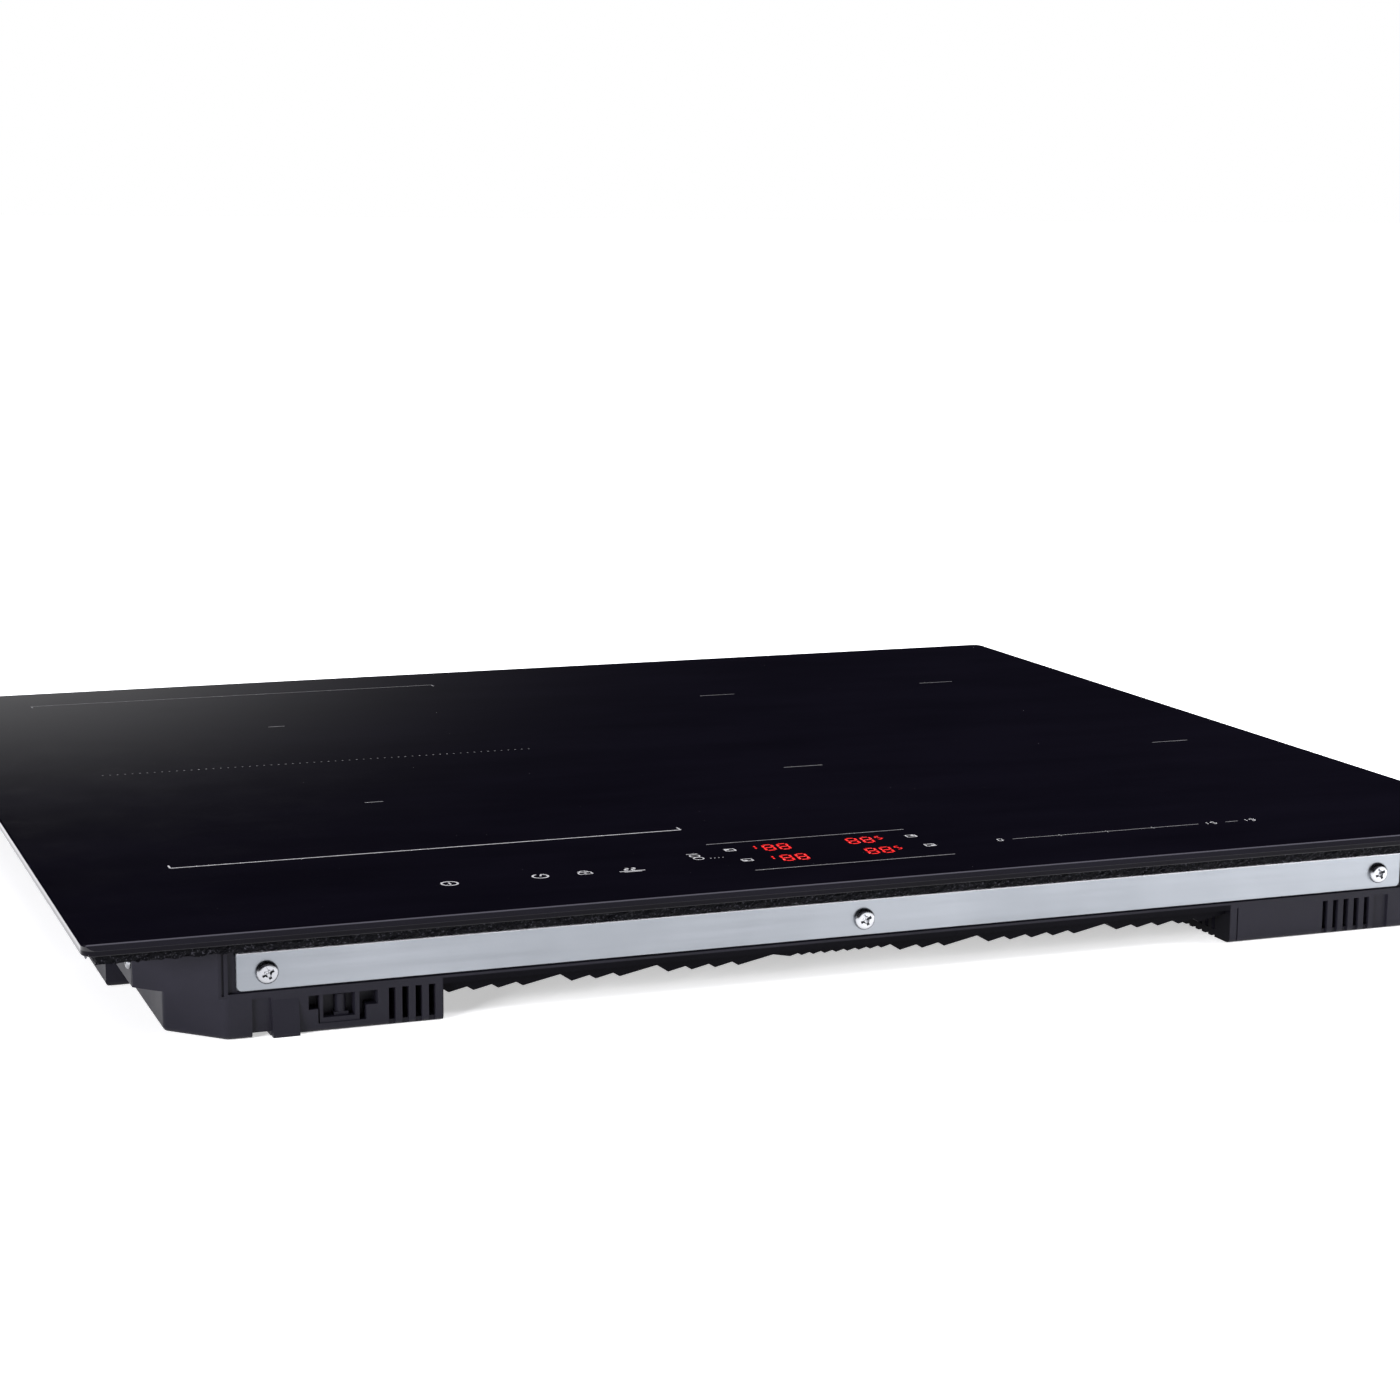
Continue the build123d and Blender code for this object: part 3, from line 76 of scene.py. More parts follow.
# Noise values at which a texture's low and high ends are reached.
NOISE_SPAN = (0.3, 0.7)


# ---------------------------------------------------------------- material helpers
def new_material(name, color, roughness, metallic=0.0):
    """A Principled material with its constants on the shader's own sockets."""
    material = bpy.data.materials.new(name)
    material.use_nodes = True
    shader = material.node_tree.nodes["Principled BSDF"]
    shader.inputs["Base Color"].default_value = (*color, 1)
    shader.inputs["Roughness"].default_value = roughness
    shader.inputs["Metallic"].default_value = metallic
    return material, shader


def add_node(material, kind, **settings):
    """One shader node with its properties set."""
    made = material.node_tree.nodes.new(kind)
    for key, value in settings.items():
        setattr(made, key, value)
    return made


def link(material, source, target):
    """Join an output socket to an input socket."""
    material.node_tree.links.new(source, target)


def object_noise(material, scale, detail=4.0, rough=0.55, stretch=(1, 1, 1)):
    """Noise in the object's own metres, optionally stretched along an axis."""
    coords = add_node(material, "ShaderNodeTexCoord")
    mapping = add_node(material, "ShaderNodeMapping")
    mapping.inputs["Scale"].default_value = stretch
    link(material, coords.outputs["Object"], mapping.inputs["Vector"])
    texture = add_node(material, "ShaderNodeTexNoise")
    texture.inputs["Scale"].default_value = scale
    texture.inputs["Detail"].default_value = detail
    texture.inputs["Roughness"].default_value = rough
    link(material, mapping.outputs["Vector"], texture.inputs["Vector"])
    return texture.outputs["Fac"]


def object_texture(material, kind, **settings):
    """A texture node laid out in the object's own metres."""
    texture = add_node(material, kind, **settings)
    coords = add_node(material, "ShaderNodeTexCoord")
    link(material, coords.outputs["Object"], texture.inputs["Vector"])
    return texture


def object_axes(material):
    """Separate X, Y and Z of the object's own metres."""
    coords = add_node(material, "ShaderNodeTexCoord")
    split = add_node(material, "ShaderNodeSeparateXYZ")
    link(material, coords.outputs["Object"], split.inputs["Vector"])
    return split.outputs


def ranged(material, value, low, high, start, end):
    """A value mapped from one range to another, clamped."""
    node = add_node(material, "ShaderNodeMapRange")
    for name, number in zip(("From Min", "From Max", "To Min", "To Max"), (low, high, start, end)):
        node.inputs[name].default_value = number
    link(material, value, node.inputs["Value"])
    return node.outputs["Result"]


def product(material, first, second):
    """Two masks multiplied."""
    both = add_node(material, "ShaderNodeMath", operation="MULTIPLY")
    link(material, first, both.inputs[0])
    link(material, second, both.inputs[1])
    return both.outputs[0]


def tint_where(material, mask, color, blend="MIX"):
    """Mix a colour into the base colour where a mask is one."""
    shader = material.node_tree.nodes["Principled BSDF"]
    tone = add_node(material, "ShaderNodeMix", data_type="RGBA", blend_type=blend)
    link(material, mask, tone.inputs["Factor"])
    link(material, shader.inputs["Base Color"].links[0].from_socket, tone.inputs["A"])
    tone.inputs["B"].default_value = (*color, 1)
    link(material, tone.outputs["Result"], shader.inputs["Base Color"])


def colour_from(material, shader, fac, dark, light, low=0.35, high=0.65):
    """Base colour that runs from dark to light with a texture."""
    ramp = add_node(material, "ShaderNodeValToRGB")
    ramp.color_ramp.elements[0].position = low
    ramp.color_ramp.elements[0].color = (*dark, 1)
    ramp.color_ramp.elements[1].position = high
    ramp.color_ramp.elements[1].color = (*light, 1)
    link(material, fac, ramp.inputs["Fac"])
    link(material, ramp.outputs["Color"], shader.inputs["Base Color"])


def roughness_from(material, shader, fac, low, high):
    """Roughness that follows a texture between two values."""
    link(material, ranged(material, fac, *NOISE_SPAN, low, high), shader.inputs["Roughness"])


def bump_from(material, shader, fac, strength, distance):
    """Surface relief from a texture."""
    bump = add_node(material, "ShaderNodeBump")
    bump.inputs["Strength"].default_value = strength
    bump.inputs["Distance"].default_value = distance
    link(material, fac, bump.inputs["Height"])
    link(material, bump.outputs["Normal"], shader.inputs["Normal"])


# ---------------------------------------------------------------- materials
def textured(name, dark, light, rough, scale, grain, relief):
    """Broad colour and roughness variation, with a finer grain as relief."""
    material, shader = new_material(name, light, rough[0])
    broad = object_noise(material, scale)
    colour_from(material, shader, broad, dark, light)
    roughness_from(material, shader, broad, *rough)
    fine = object_noise(material, grain, detail=2.0)
    bump_from(material, shader, fine, 0.6, relief)
    return material


def black_glass():
    """Glossy black glass-ceramic with a violet cast, faint wipe marks, a ground edge and a painted
    highlight on the front arris.
    """
    material, shader = new_material("black_glass", (0.0012, 0.001, 0.0022), 0.05)
    shader.inputs["IOR"].default_value = 1.5
    shader.inputs["Specular IOR Level"].default_value = GLASS_SPECULAR
    wipes = object_noise(material, 9, detail=5, rough=0.6, stretch=(1, 3, 1))
    colour_from(material, shader, wipes, (0.0009, 0.0007, 0.0017), (0.0017, 0.0014, 0.003))
    smudges = object_noise(material, 38, detail=6, rough=0.65)
    roughness_from(material, shader, smudges, 0.035, 0.085)
    axes = object_axes(material)
    polish = ranged(material, axes["Z"], *GROUND_EDGE, GROUND_SPECULAR, GLASS_SPECULAR)
    link(material, polish, shader.inputs["Specular IOR Level"])
    # Painted highlight: the front arris gets a lighter tint than the glass.
    arris = product(
        material,
        ranged(material, axes["Z"], *ARRIS_HIGHLIGHT_HEIGHTS, 0, 1),
        ranged(material, axes["Y"], ARRIS_HIGHLIGHT_Y - ARRIS_HIGHLIGHT_BLEND, ARRIS_HIGHLIGHT_Y, 1, 0),
    )
    tint_where(material, arris, (0.03, 0.029, 0.036))
    return material


def moulded_plastic(name, dark, light, rough=(0.42, 0.56)):
    """Injection-moulded plastic with a fine spark-eroded grain."""
    material, shader = new_material(name, light, rough[0])
    shader.inputs["Specular IOR Level"].default_value = PLASTIC_SPECULAR
    broad = object_noise(material, 22)
    colour_from(material, shader, broad, dark, light)
    roughness_from(material, shader, broad, *rough)
    grain = object_noise(material, 2600, detail=2.0)
    bump_from(material, shader, grain, 0.35, 0.05 * MM)
    return material


def paint_outlet_shade(material):
    """Painted shade in the tub's air outlet: a darker colour and a lower sheen there."""
    shader = material.node_tree.nodes["Principled BSDF"]
    axes = object_axes(material)
    left, right = OUTLET_X
    past_left = ranged(material, axes["X"], left - OUTLET_BLEND, left, 0, 1)
    before_right = ranged(material, axes["X"], right, right + OUTLET_BLEND, 1, 0)
    below_top = ranged(material, axes["Z"], OUTLET_TOP, OUTLET_TOP + OUTLET_BLEND, 1, 0)
    inside = product(material, product(material, past_left, before_right), below_top)
    # Painted shade: the outlet's colour is multiplied darker and its sheen lowered.
    tint_where(material, inside, OUTLET_SHADE_TINT, "MULTIPLY")
    sheen = ranged(material, inside, 0, 1, PLASTIC_SPECULAR, OUTLET_SHADE_SPECULAR)
    link(material, sheen, shader.inputs["Specular IOR Level"])


def satin_metal(name, dark, light, rough, stretch):
    """Rolled or brushed metal: long fine streaks and a broad tonal drift."""
    material, shader = new_material(name, light, rough[0], metallic=1.0)
    drift = object_noise(material, 14, detail=3.0)
    colour_from(material, shader, drift, dark, light)
    streaks = object_noise(material, 420, detail=5.0, stretch=stretch)
    roughness_from(material, shader, streaks, *rough)
    bump_from(material, shader, streaks, 0.25, 0.03 * MM)
    return material


def paint_bend_highlight(material):
    """Brighten the rails above their upper bend: a painted highlight along the top bend."""
    height = object_axes(material)["Z"]
    bend = ranged(material, height, BEND_HIGHLIGHT_Z, BEND_HIGHLIGHT_Z + BEND_HIGHLIGHT_BLEND, 0, 1)
    # Painted highlight: a pale tint mixed into the rail colour above the bend.
    tint_where(material, bend, (0.86, 0.86, 0.9))


def foam():
    """Rough open-cell foam tape with pale specks."""
    material, shader = new_material("foam_black", (0.002, 0.002, 0.003), 0.9)
    shader.inputs["Specular IOR Level"].default_value = 0.12
    cells = object_texture(material, "ShaderNodeTexVoronoi")
    cells.inputs["Scale"].default_value = 900
    fine = object_noise(material, 1400, detail=3.0)
    colour_from(material, shader, fine, (0.0012, 0.0012, 0.002), (0.035, 0.034, 0.042), 0.58, 0.72)
    bump_from(material, shader, cells.outputs["Distance"], 0.8, 0.5 * MM)
    return material


def lit_digit():
    """Red segments that glow through the glass."""
    material, shader = new_material("lit_red", (0.5, 0.01, 0.01), 0.4)
    shader.inputs["Emission Color"].default_value = (1.0, 0.03, 0.02, 1)
    glow = object_noise(material, 900, detail=1.0)
    strength = ranged(material, glow, *NOISE_SPAN, 0.2, 0.55)
    link(material, strength, shader.inputs["Emission Strength"])
    return material


def enamel(name, level):
    """Matt ceramic print, slightly uneven in tone."""
    low = tuple(level * part * 0.8 for part in (1.0, 0.99, 1.02))
    high = tuple(level * part * 1.1 for part in (1.0, 0.99, 1.02))
    return textured(name, low, high, (0.4, 0.55), 300, 1800, 0.01 * MM)


def wound_copper():
    """Lacquered stranded wire: fine oblique strand relief."""
    material, shader = new_material("copper_wire", (0.45, 0.17, 0.07), 0.35, metallic=0.85)
    tone = object_noise(material, 120)
    colour_from(material, shader, tone, (0.32, 0.11, 0.04), (0.6, 0.25, 0.11))
    waves = object_texture(material, "ShaderNodeTexWave", bands_direction="DIAGONAL")
    waves.inputs["Scale"].default_value = 400
    waves.inputs["Distortion"].default_value = 2.0
    bump_from(material, shader, waves.outputs["Fac"], 0.6, 0.2 * MM)
    roughness_from(material, shader, tone, 0.25, 0.42)
    return material


def circuit_board():
    """Green solder resist with darker copper tracks under it."""
    material, shader = new_material("circuit_board", (0.02, 0.12, 0.05), 0.35)
    tracks = object_texture(material, "ShaderNodeTexBrick")
    tracks.inputs["Scale"].default_value = 60
    tracks.inputs["Mortar Size"].default_value = 0.03
    tracks.inputs["Color1"].default_value = (0.014, 0.1, 0.04, 1)
    tracks.inputs["Color2"].default_value = (0.02, 0.13, 0.055, 1)
    tracks.inputs["Mortar"].default_value = (0.04, 0.2, 0.09, 1)
    link(material, tracks.outputs["Color"], shader.inputs["Base Color"])
    bump_from(material, shader, tracks.outputs["Fac"], 0.4, 0.05 * MM)
    return material


# ---------------------------------------------------------------- every node's material
# Darkest and lightest colour; then, where it isn't the usual one, the roughness range.
PLASTICS = {
    "tub_plastic": ((0.0064, 0.0061, 0.0094), (0.0098, 0.0093, 0.0138)),
    "cover_plastic": ((0.01, 0.0095, 0.0135), (0.015, 0.0142, 0.0195)),
    "carrier_plastic": ((0.05, 0.05, 0.052), (0.08, 0.08, 0.085)),
    "component_black": ((0.012, 0.012, 0.013), (0.025, 0.025, 0.027), (0.3, 0.45)),
    "capacitor": ((0.08, 0.1, 0.17), (0.11, 0.14, 0.22), (0.25, 0.35)),
    "fan_plastic": ((0.02, 0.02, 0.023), (0.035, 0.035, 0.04)),
    "holder_plastic": ((0.02, 0.02, 0.022), (0.035, 0.035, 0.04)),
    "display_face": ((0.03, 0.004, 0.004), (0.05, 0.008, 0.008), (0.15, 0.25)),
    "cable_jacket": ((0.4, 0.4, 0.42), (0.52, 0.52, 0.54)),
    "terminal_plastic": ((0.5, 0.48, 0.42), (0.62, 0.6, 0.54)),
}
# Darkest and lightest colour, roughness range, and the streaks' stretch: small along the rolling.
METALS = {
    "rail_metal": ((0.193, 0.206, 0.223), (0.224, 0.238, 0.257), (0.3, 0.42), (0.03, 1, 1)),
    "zinc_screw": ((0.27, 0.275, 0.29), (0.38, 0.387, 0.405), (0.16, 0.28), (1, 1, 1)),
    "spring_steel": ((0.16, 0.16, 0.19), (0.3, 0.3, 0.33), (0.25, 0.4), (1, 0.05, 1)),
    "aluminium": ((0.6, 0.61, 0.63), (0.75, 0.76, 0.78), (0.28, 0.42), (0.05, 1, 1)),
    "sensor_metal": ((0.5, 0.5, 0.52), (0.7, 0.7, 0.72), (0.25, 0.4), (1, 1, 1)),
    "motor_metal": ((0.3, 0.3, 0.32), (0.45, 0.45, 0.47), (0.3, 0.45), (1, 1, 0.05)),
}
# Darkest and lightest colour, roughness range, scale of the mottling and of the grain, relief.
MATT_STUFFS = {
    "ferrite": ((0.03, 0.03, 0.035), (0.07, 0.07, 0.075), (0.5, 0.7), 300, 1500, 0.1 * MM),
    "mica": ((0.42, 0.36, 0.26), (0.66, 0.6, 0.48), (0.35, 0.5), 260, 1200, 0.03 * MM),
    "bushing_rubber": ((0.008, 0.008, 0.009), (0.02, 0.02, 0.021), (0.6, 0.75), 90, 1600, 0.05 * MM),
}


def dress_nodes():
    """One procedural material per material slot, put on every CAD node of that slot."""
    looks = {
        "glass": black_glass(),
        "foam": foam(),
        "copper": wound_copper(),
        "circuit_board": circuit_board(),
    }
    for make, table in ((moulded_plastic, PLASTICS), (satin_metal, METALS), (textured, MATT_STUFFS)):
        for slot, values in table.items():
            looks[slot] = make(slot, *values)
    # Painted shade in the tub's air outlet, and a painted highlight on the rails' top bend.
    paint_outlet_shade(looks["tub_plastic"])
    paint_bend_highlight(looks["rail_metal"])
    for row in frame["record"]["subparts"]:
        node = frame["nodes"][row["node"]]
        node.data.materials.clear()
        node.data.materials.append(looks[row["material_slot"]])
    return looks


# ---------------------------------------------------------------- printed marks
# Places on the glass are in millimetres from its middle, and sizes in millimetres.
FINE_LINE = 0.55
BOLD_LINE = 0.75
THIN_LINE = FINE_LINE * 0.8
# The left flexible zone: left, right, front and back.
ZONE_LEFT = (-250.0, -41.5, -153.5, 222.5)
ZONE_TICK = 4.5
CENTRE_DASH = 8
FLEX_DOT_PITCH = 3.3
FLEX_DOT_INSET = 5
FLEX_DOT_MARGIN = 8
FLEX_DOT_RADIUS = 0.42
DOT_SIDES = 8
# Each round zone: centre and radius.
ROUND_ZONES = (((154, -46), 105), ((154, 145), 72.5))
ROUND_TICK = 19
KEY_ROW_Y = -212.4


def add_strip(mesh, start, end, width):
    """Flat strip between two points on the glass."""
    a, b = Vector(start), Vector(end)
    across = (b - a).normalized().orthogonal() * (width / 2)
    corners = (a - across, b - across, b + across, a + across)
    mesh.faces.new([mesh.verts.new((p.x * MM, p.y * MM, 0)) for p in corners])


def circle_vertex(mesh, centre, radius, turn):
    """A vertex on a circle on the glass; the turn is in radians from +X."""
    x = centre[0] + radius * math.cos(turn)
    y = centre[1] + radius * math.sin(turn)
    return mesh.verts.new((x * MM, y * MM, 0))


def add_disc(mesh, centre, radius, sides):
    """Flat dot on the glass."""
    turns = [2 * math.pi * i / sides for i in range(sides)]
    mesh.faces.new([circle_vertex(mesh, centre, radius, turn) for turn in turns])


def add_ring(mesh, centre, radius, width, start=0.0, sweep=360.0, sides=28):
    """Flat ring or arc on the glass; angles in degrees from +X."""
    rows = []
    for i in range(sides + 1):
        turn = math.radians(start + sweep * i / sides)
        radii = (radius - width / 2, radius + width / 2)
        rows.append([circle_vertex(mesh, centre, r, turn) for r in radii])
    for a, b in zip(rows, rows[1:]):
        mesh.faces.new((a[0], a[1], b[1], b[0]))


def new_object(name, mesh):
    """An object in the scene made from a mesh under construction."""
    data = bpy.data.meshes.new(name)
    mesh.to_mesh(data)
    mesh.free()
    piece = bpy.data.objects.new(name, data)
    bpy.context.collection.objects.link(piece)
    return piece


def flat_piece(name, build, material):
    """A thin printed piece that lies on the glass and rides with it."""
    mesh = bmesh.new()
    build(mesh)
    bmesh.ops.recalc_face_normals(mesh, faces=mesh.faces)
    for face in mesh.faces:
        if face.normal.z < 0:
            face.normal_flip()
    bmesh.ops.translate(mesh, verts=mesh.verts, vec=(0, 0, GLASS_TOP + PRINT_LIFT))
    piece = new_object(name, mesh)
    piece.data.materials.append(material)
    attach(piece, "root")


def flex_front(mesh):
    """Front line of the left flexible zone, with its corner ticks."""
    left, right, front, _ = ZONE_LEFT
    add_strip(mesh, (left, front), (right, front), BOLD_LINE)
    for x in (left, right):
        add_strip(mesh, (x, front), (x, front + ZONE_TICK), BOLD_LINE)


def flex_zone(mesh):
    """Rest of the left flexible zone: back line with ticks, dotted middle, centre dashes."""
    left, right, front, back = ZONE_LEFT
    middle = (front + back) / 2
    add_strip(mesh, (left, back), (right, back), FINE_LINE)
    for x in (left, right):
        add_strip(mesh, (x, back), (x, back - ZONE_TICK), BOLD_LINE)
    dots = int((right - left - FLEX_DOT_MARGIN) / FLEX_DOT_PITCH)
    for i in range(dots + 1):
        place = (left + FLEX_DOT_INSET + i * FLEX_DOT_PITCH, middle)
        add_disc(mesh, place, FLEX_DOT_RADIUS, DOT_SIDES)
    centre_x = (left + right) / 2
    quarter = (back - front) / 4
    for y in (middle - quarter, middle + quarter):
        add_strip(mesh, (centre_x - CENTRE_DASH / 2, y), (centre_x + CENTRE_DASH / 2, y), BOLD_LINE)


def round_zones(mesh):
    """Right zones: a tick mark at each side, where the cross axis meets the circle."""
    for (x, y), radius in ROUND_ZONES:
        for side in (-1, 1):
            add_strip(mesh, (x + side * (radius - ROUND_TICK), y), (x + side * radius, y), FINE_LINE)


def frame_lines(mesh):
    """Lines above and below the displays, and the slider's line with its ticks."""
    add_strip(mesh, (-41.4, -182.4), (45.3, -182.4), FINE_LINE)
    add_strip(mesh, (-39.6, -230.0), (45.4, -230.0), FINE_LINE)
    slider_y = -213.2
    for start_x, end_x in ((79.5, 165.5), (178.5, 184.5)):
        add_strip(mesh, (start_x, slider_y), (end_x, slider_y), THIN_LINE)
    for x in (101, 122.5, 144):
        add_strip(mesh, (x, slider_y - 1.4), (x, slider_y + 1.4), THIN_LINE)


def power_key(mesh):
    """Ring with an upright bar in its middle."""
    x, y = -156.2, KEY_ROW_Y
    add_ring(mesh, (x, y), 3.1, BOLD_LINE)
    add_strip(mesh, (x, y - 1.7), (x, y + 1.7), BOLD_LINE)


def timer_key(mesh):
    """Broken ring with a hand that leans into it."""
    x, y = -120.5, KEY_ROW_Y
    add_ring(mesh, (x, y), 3.0, BOLD_LINE, 105, 330)
    add_strip(mesh, (x, y), (x + 0.9, y + 2.2), BOLD_LINE)


def lock_key(mesh):
    """Padlock: a body in outline and a shackle."""
    x, y = -102.8, KEY_ROW_Y - 0.4
    for offset in (-2.6, 2.6):
        add_strip(mesh, (x + offset, y - 2), (x + offset, y + 1.2), FINE_LINE)
    for offset in (-2, 1.2):
        add_strip(mesh, (x - 2.6, y + offset), (x + 2.6, y + offset), FINE_LINE)
    add_ring(mesh, (x, y + 1.4), 1.8, FINE_LINE, 0, 180, 12)
    add_disc(mesh, (x, y - 0.4), 0.55, 10)


def steam_key(mesh):
    """Pan base line with two steam waves."""
    x, y = -84.5, KEY_ROW_Y - 1.5
    add_strip(mesh, (x - 5.2, y - 1.6), (x + 5.2, y - 1.6), BOLD_LINE)
    add_strip(mesh, (x - 3.6, y - 2.8), (x + 3.6, y - 2.8), FINE_LINE)
    for offset in (-1.4, 1.4):
        add_ring(mesh, (x + offset, y + 0.6), 0.9, BOLD_LINE, 90, 180, 10)
        add_ring(mesh, (x + offset, y + 2.4), 0.9, BOLD_LINE, -90, 180, 10)


def link_key(mesh):
    """Two linked zones with a trail of dots."""
    x, y = -53.0, -202.0
    for dy in (-2.2, 2.2):
        add_ring(mesh, (x, y + dy), 2.0, FINE_LINE)
    for i in range(4):
        add_disc(mesh, (x + 4.6 + i * 1.7, y - 3.4), 0.32, DOT_SIDES)
    add_strip(mesh, (x - 2.4, y + 5.6), (x + 2.4, y + 5.6), FINE_LINE)


def zone_marks(mesh):
    """Small zone pictograms beside each display: a frame with one filled corner."""
    half_width, half_height = 2, 1.7
    for index, (x, y) in enumerate(((-36, -194.4), (-36, -212.8), (42.8, -194.8), (43, -212.3))):
        for dx in (-half_width, half_width):
            add_strip(mesh, (x + dx, y - half_height), (x + dx, y + half_height), FINE_LINE)
        for dy in (-half_height, half_height):
            add_strip(mesh, (x - half_width, y + dy), (x + half_width, y + dy), FINE_LINE)
        corner_x = x + (-0.9 if index < 2 else 0.9)
        corner_y = y + (0.7 if index % 2 == 0 else -0.7)
        add_disc(mesh, (corner_x, corner_y), 0.8, 10)


# Seven segments: a, b, c, d, e, f, g as end points on a unit cell one wide and two tall.
SEGMENTS = {
    "a": ((0, 2), (1, 2)),
    "b": ((1, 1), (1, 2)),
    "c": ((1, 0), (1, 1)),
    "d": ((0, 0), (1, 0)),
    "e": ((0, 0), (0, 1)),
    "f": ((0, 1), (0, 2)),
    "g": ((0, 1), (1, 1)),
}
GLYPHS = {"0": "abcdef", "1": "bc", "5": "acdfg", "8": "abcdefg", "9": "abcdfg"}
SLANT = 0.14


def add_glyph(mesh, glyph, corner, width, height, stroke):
    """One slanted seven-segment glyph whose lower left corner is given."""
    trim = stroke * 0.62
    for key in GLYPHS[glyph]:
        ends = []
        for u, v in SEGMENTS[key]:
            dy = v * height / 2
            ends.append(Vector((corner[0] + u * width + SLANT * dy, corner[1] + dy, 0)))
        along = (ends[1] - ends[0]).normalized() * trim
        add_strip(mesh, (ends[0] + along)[:2], (ends[1] - along)[:2], stroke)


def slider_figures(mesh):
    """Figures at the slider's ends: 0, 15 and 19."""
    for glyph, x in (("0", 72.6), ("1", 167.6), ("5", 171.6), ("1", 186.2), ("9", 190.2)):
        add_glyph(mesh, glyph, (x, -214.8), 2.0, 3.4, 0.5)


# Width, height and stroke of the displays' large and small figures.
LARGE_DIGIT = (3.9, 9.2, 0.95)
SMALL_DIGIT = (2.1, 5.2, 0.75)
LARGE_PITCH = 6.4
LARGE_RISE = 1.3
SMALL_TOP = 10.5
# One display module: width and depth.
DISPLAY_SIZE = (17.5, 12)


def display_digits(mesh):
    """Two large figures over each display module, and a small one at its outer end."""
    low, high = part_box("display_modules")
    rows = (low.y / MM, high.y / MM - DISPLAY_SIZE[1])
    # Each column: its left edge, the small figure, and how far in the small and large ones start.
    columns = (
        (low.x / MM, "1", -1.4, 3.6),
        (high.x / MM - DISPLAY_SIZE[0], "5", 13.6, 0.2),
    )
    for x, small_glyph, small_start, large_start in columns:
        for y in rows:
            small_corner = (x + small_start, y + (SMALL_TOP - SMALL_DIGIT[1]))
            add_glyph(mesh, small_glyph, small_corner, *SMALL_DIGIT)
            for i in range(2):
                large_corner = (x + large_start + i * LARGE_PITCH, y + LARGE_RISE)
                add_glyph(mesh, "8", large_corner, *LARGE_DIGIT)


# ---------------------------------------------------------------- foam seal
SEAL_WIDTH = 9.0 * MM
SEAL_STEP = 1.6 * MM
SEAL_INSET = 0.35 * MM
SEAL_SAG = 0.7 * MM
SEAL_GAP = 0.02 * MM
# Noise scale of the foam's lumps, and how many times finer the tears in them are.
LUMP_SCALE = 620
TEAR_SCALE = 2.7
# How far lumps and tears push the surface, in millimetres.
LUMP_SIZE = 0.7
TEAR_SIZE = 0.45


def seal_path(x_side, y_side):
    """Evenly spaced points once round the glass."""
    corners = [(-x_side, -y_side), (x_side, -y_side), (x_side, y_side), (-x_side, y_side)]
    points = []
    for start, end in zip(corners, corners[1:] + corners[:1]):
        a, b = Vector((*start, 0)), Vector((*end, 0))
        count = int((b - a).length / SEAL_STEP)
        points += [a.lerp(b, i / count) for i in range(count)]
    return points


def torn_point(x, y, z):
    """A point of the tape's face, pushed about by lumps and tears."""
    where = Vector((x, y, z)) * LUMP_SCALE
    shift = noise.noise_vector(where) * LUMP_SIZE + noise.noise_vector(where * TEAR_SCALE) * TEAR_SIZE
    placed = Vector((x, y, z)) + shift * MM
    placed.z = min(max(placed.z, SEAL_LOW.z - SEAL_SAG), SEAL_HIGH.z - SEAL_GAP)
    return placed


def rough_seal(material):
    """The foam tape with torn, uneven faces, just inside its own outline."""
    source = frame["nodes"]["foam_seal"]
    mesh = bmesh.new()
    x_side, y_side = SEAL_HIGH.x - SEAL_INSET, SEAL_HIGH.y - SEAL_INSET
    heights = [SEAL_LOW.z + (SEAL_HIGH.z - SEAL_LOW.z) * part for part in (0, 0.25, 0.5, 0.75, 1)]
    outer_face = [(0.0, z) for z in heights]
    inner_face = [(SEAL_WIDTH - 2 * SEAL_INSET, z) for z in reversed(heights)]
    rows = []
    for point in seal_path(x_side, y_side):
        row = []
        for inward, z in outer_face + inner_face:
            x = math.copysign(min(abs(point.x), x_side - inward), point.x)
            y = math.copysign(min(abs(point.y), y_side - inward), point.y)
            row.append(mesh.verts.new(torn_point(x, y, z)))
        rows.append(row)
    for row, following in zip(rows, rows[1:] + rows[:1]):
        for j, corner in enumerate(row):
            k = (j + 1) % len(row)
            mesh.faces.new((corner, following[j], following[k], row[k]))
    bmesh.ops.recalc_face_normals(mesh, faces=mesh.faces)
    piece = new_object("rough_foam_seal", mesh)
    piece.data.materials.append(material)
    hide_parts(source.name)
    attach(piece, "root")


looks = dress_nodes()
rough_seal(looks["foam"])

bright_print = enamel("print_bright", 0.34)
soft_print = enamel("print_soft", 0.16)
flat_piece("zone_front_print", flex_front, bright_print)
flat_piece("zone_print_left", flex_zone, soft_print)
flat_piece("zone_print_right", round_zones, soft_print)
flat_piece("control_lines", frame_lines, soft_print)
for mark_name, mark in (
    ("power_key_print", power_key),
    ("timer_key_print", timer_key),
    ("lock_key_print", lock_key),
    ("steam_key_print", steam_key),
    ("link_key_print", link_key),
    ("zone_mark_prints", zone_marks),
    ("slider_figures", slider_figures),
):
    flat_piece(mark_name, mark, bright_print)
flat_piece("lit_digits", display_digits, lit_digit())

# ---------------------------------------------------------------- floor, light, camera
FLOOR_SIZE = 120
FLOOR_GAP = 0.2 * MM
# The overhead light: the way to it, its strength, and its spread in degrees.
SUN_DIRECTION = (0.15, -0.25, 1.0)
SUN_STRENGTH = 1.9
SUN_SPREAD = 60
# Soft boxes: place, the point they aim at, size, and watts.
SOFT_BOXES = {
    "right_wash": ((1.2, -0.5, 0.7), (0.5, -0.55, 0.0), (0.5, 0.5), 45),
    "left_side": ((-2.4, -1.5, 0.6), (-0.2, 0, 0.02), (1.2, 0.8), 150),
    "rear_fill": ((0.5, 2.2, 0.7), (0, 0.2, 0.02), (1.6, 0.8), 60),
}


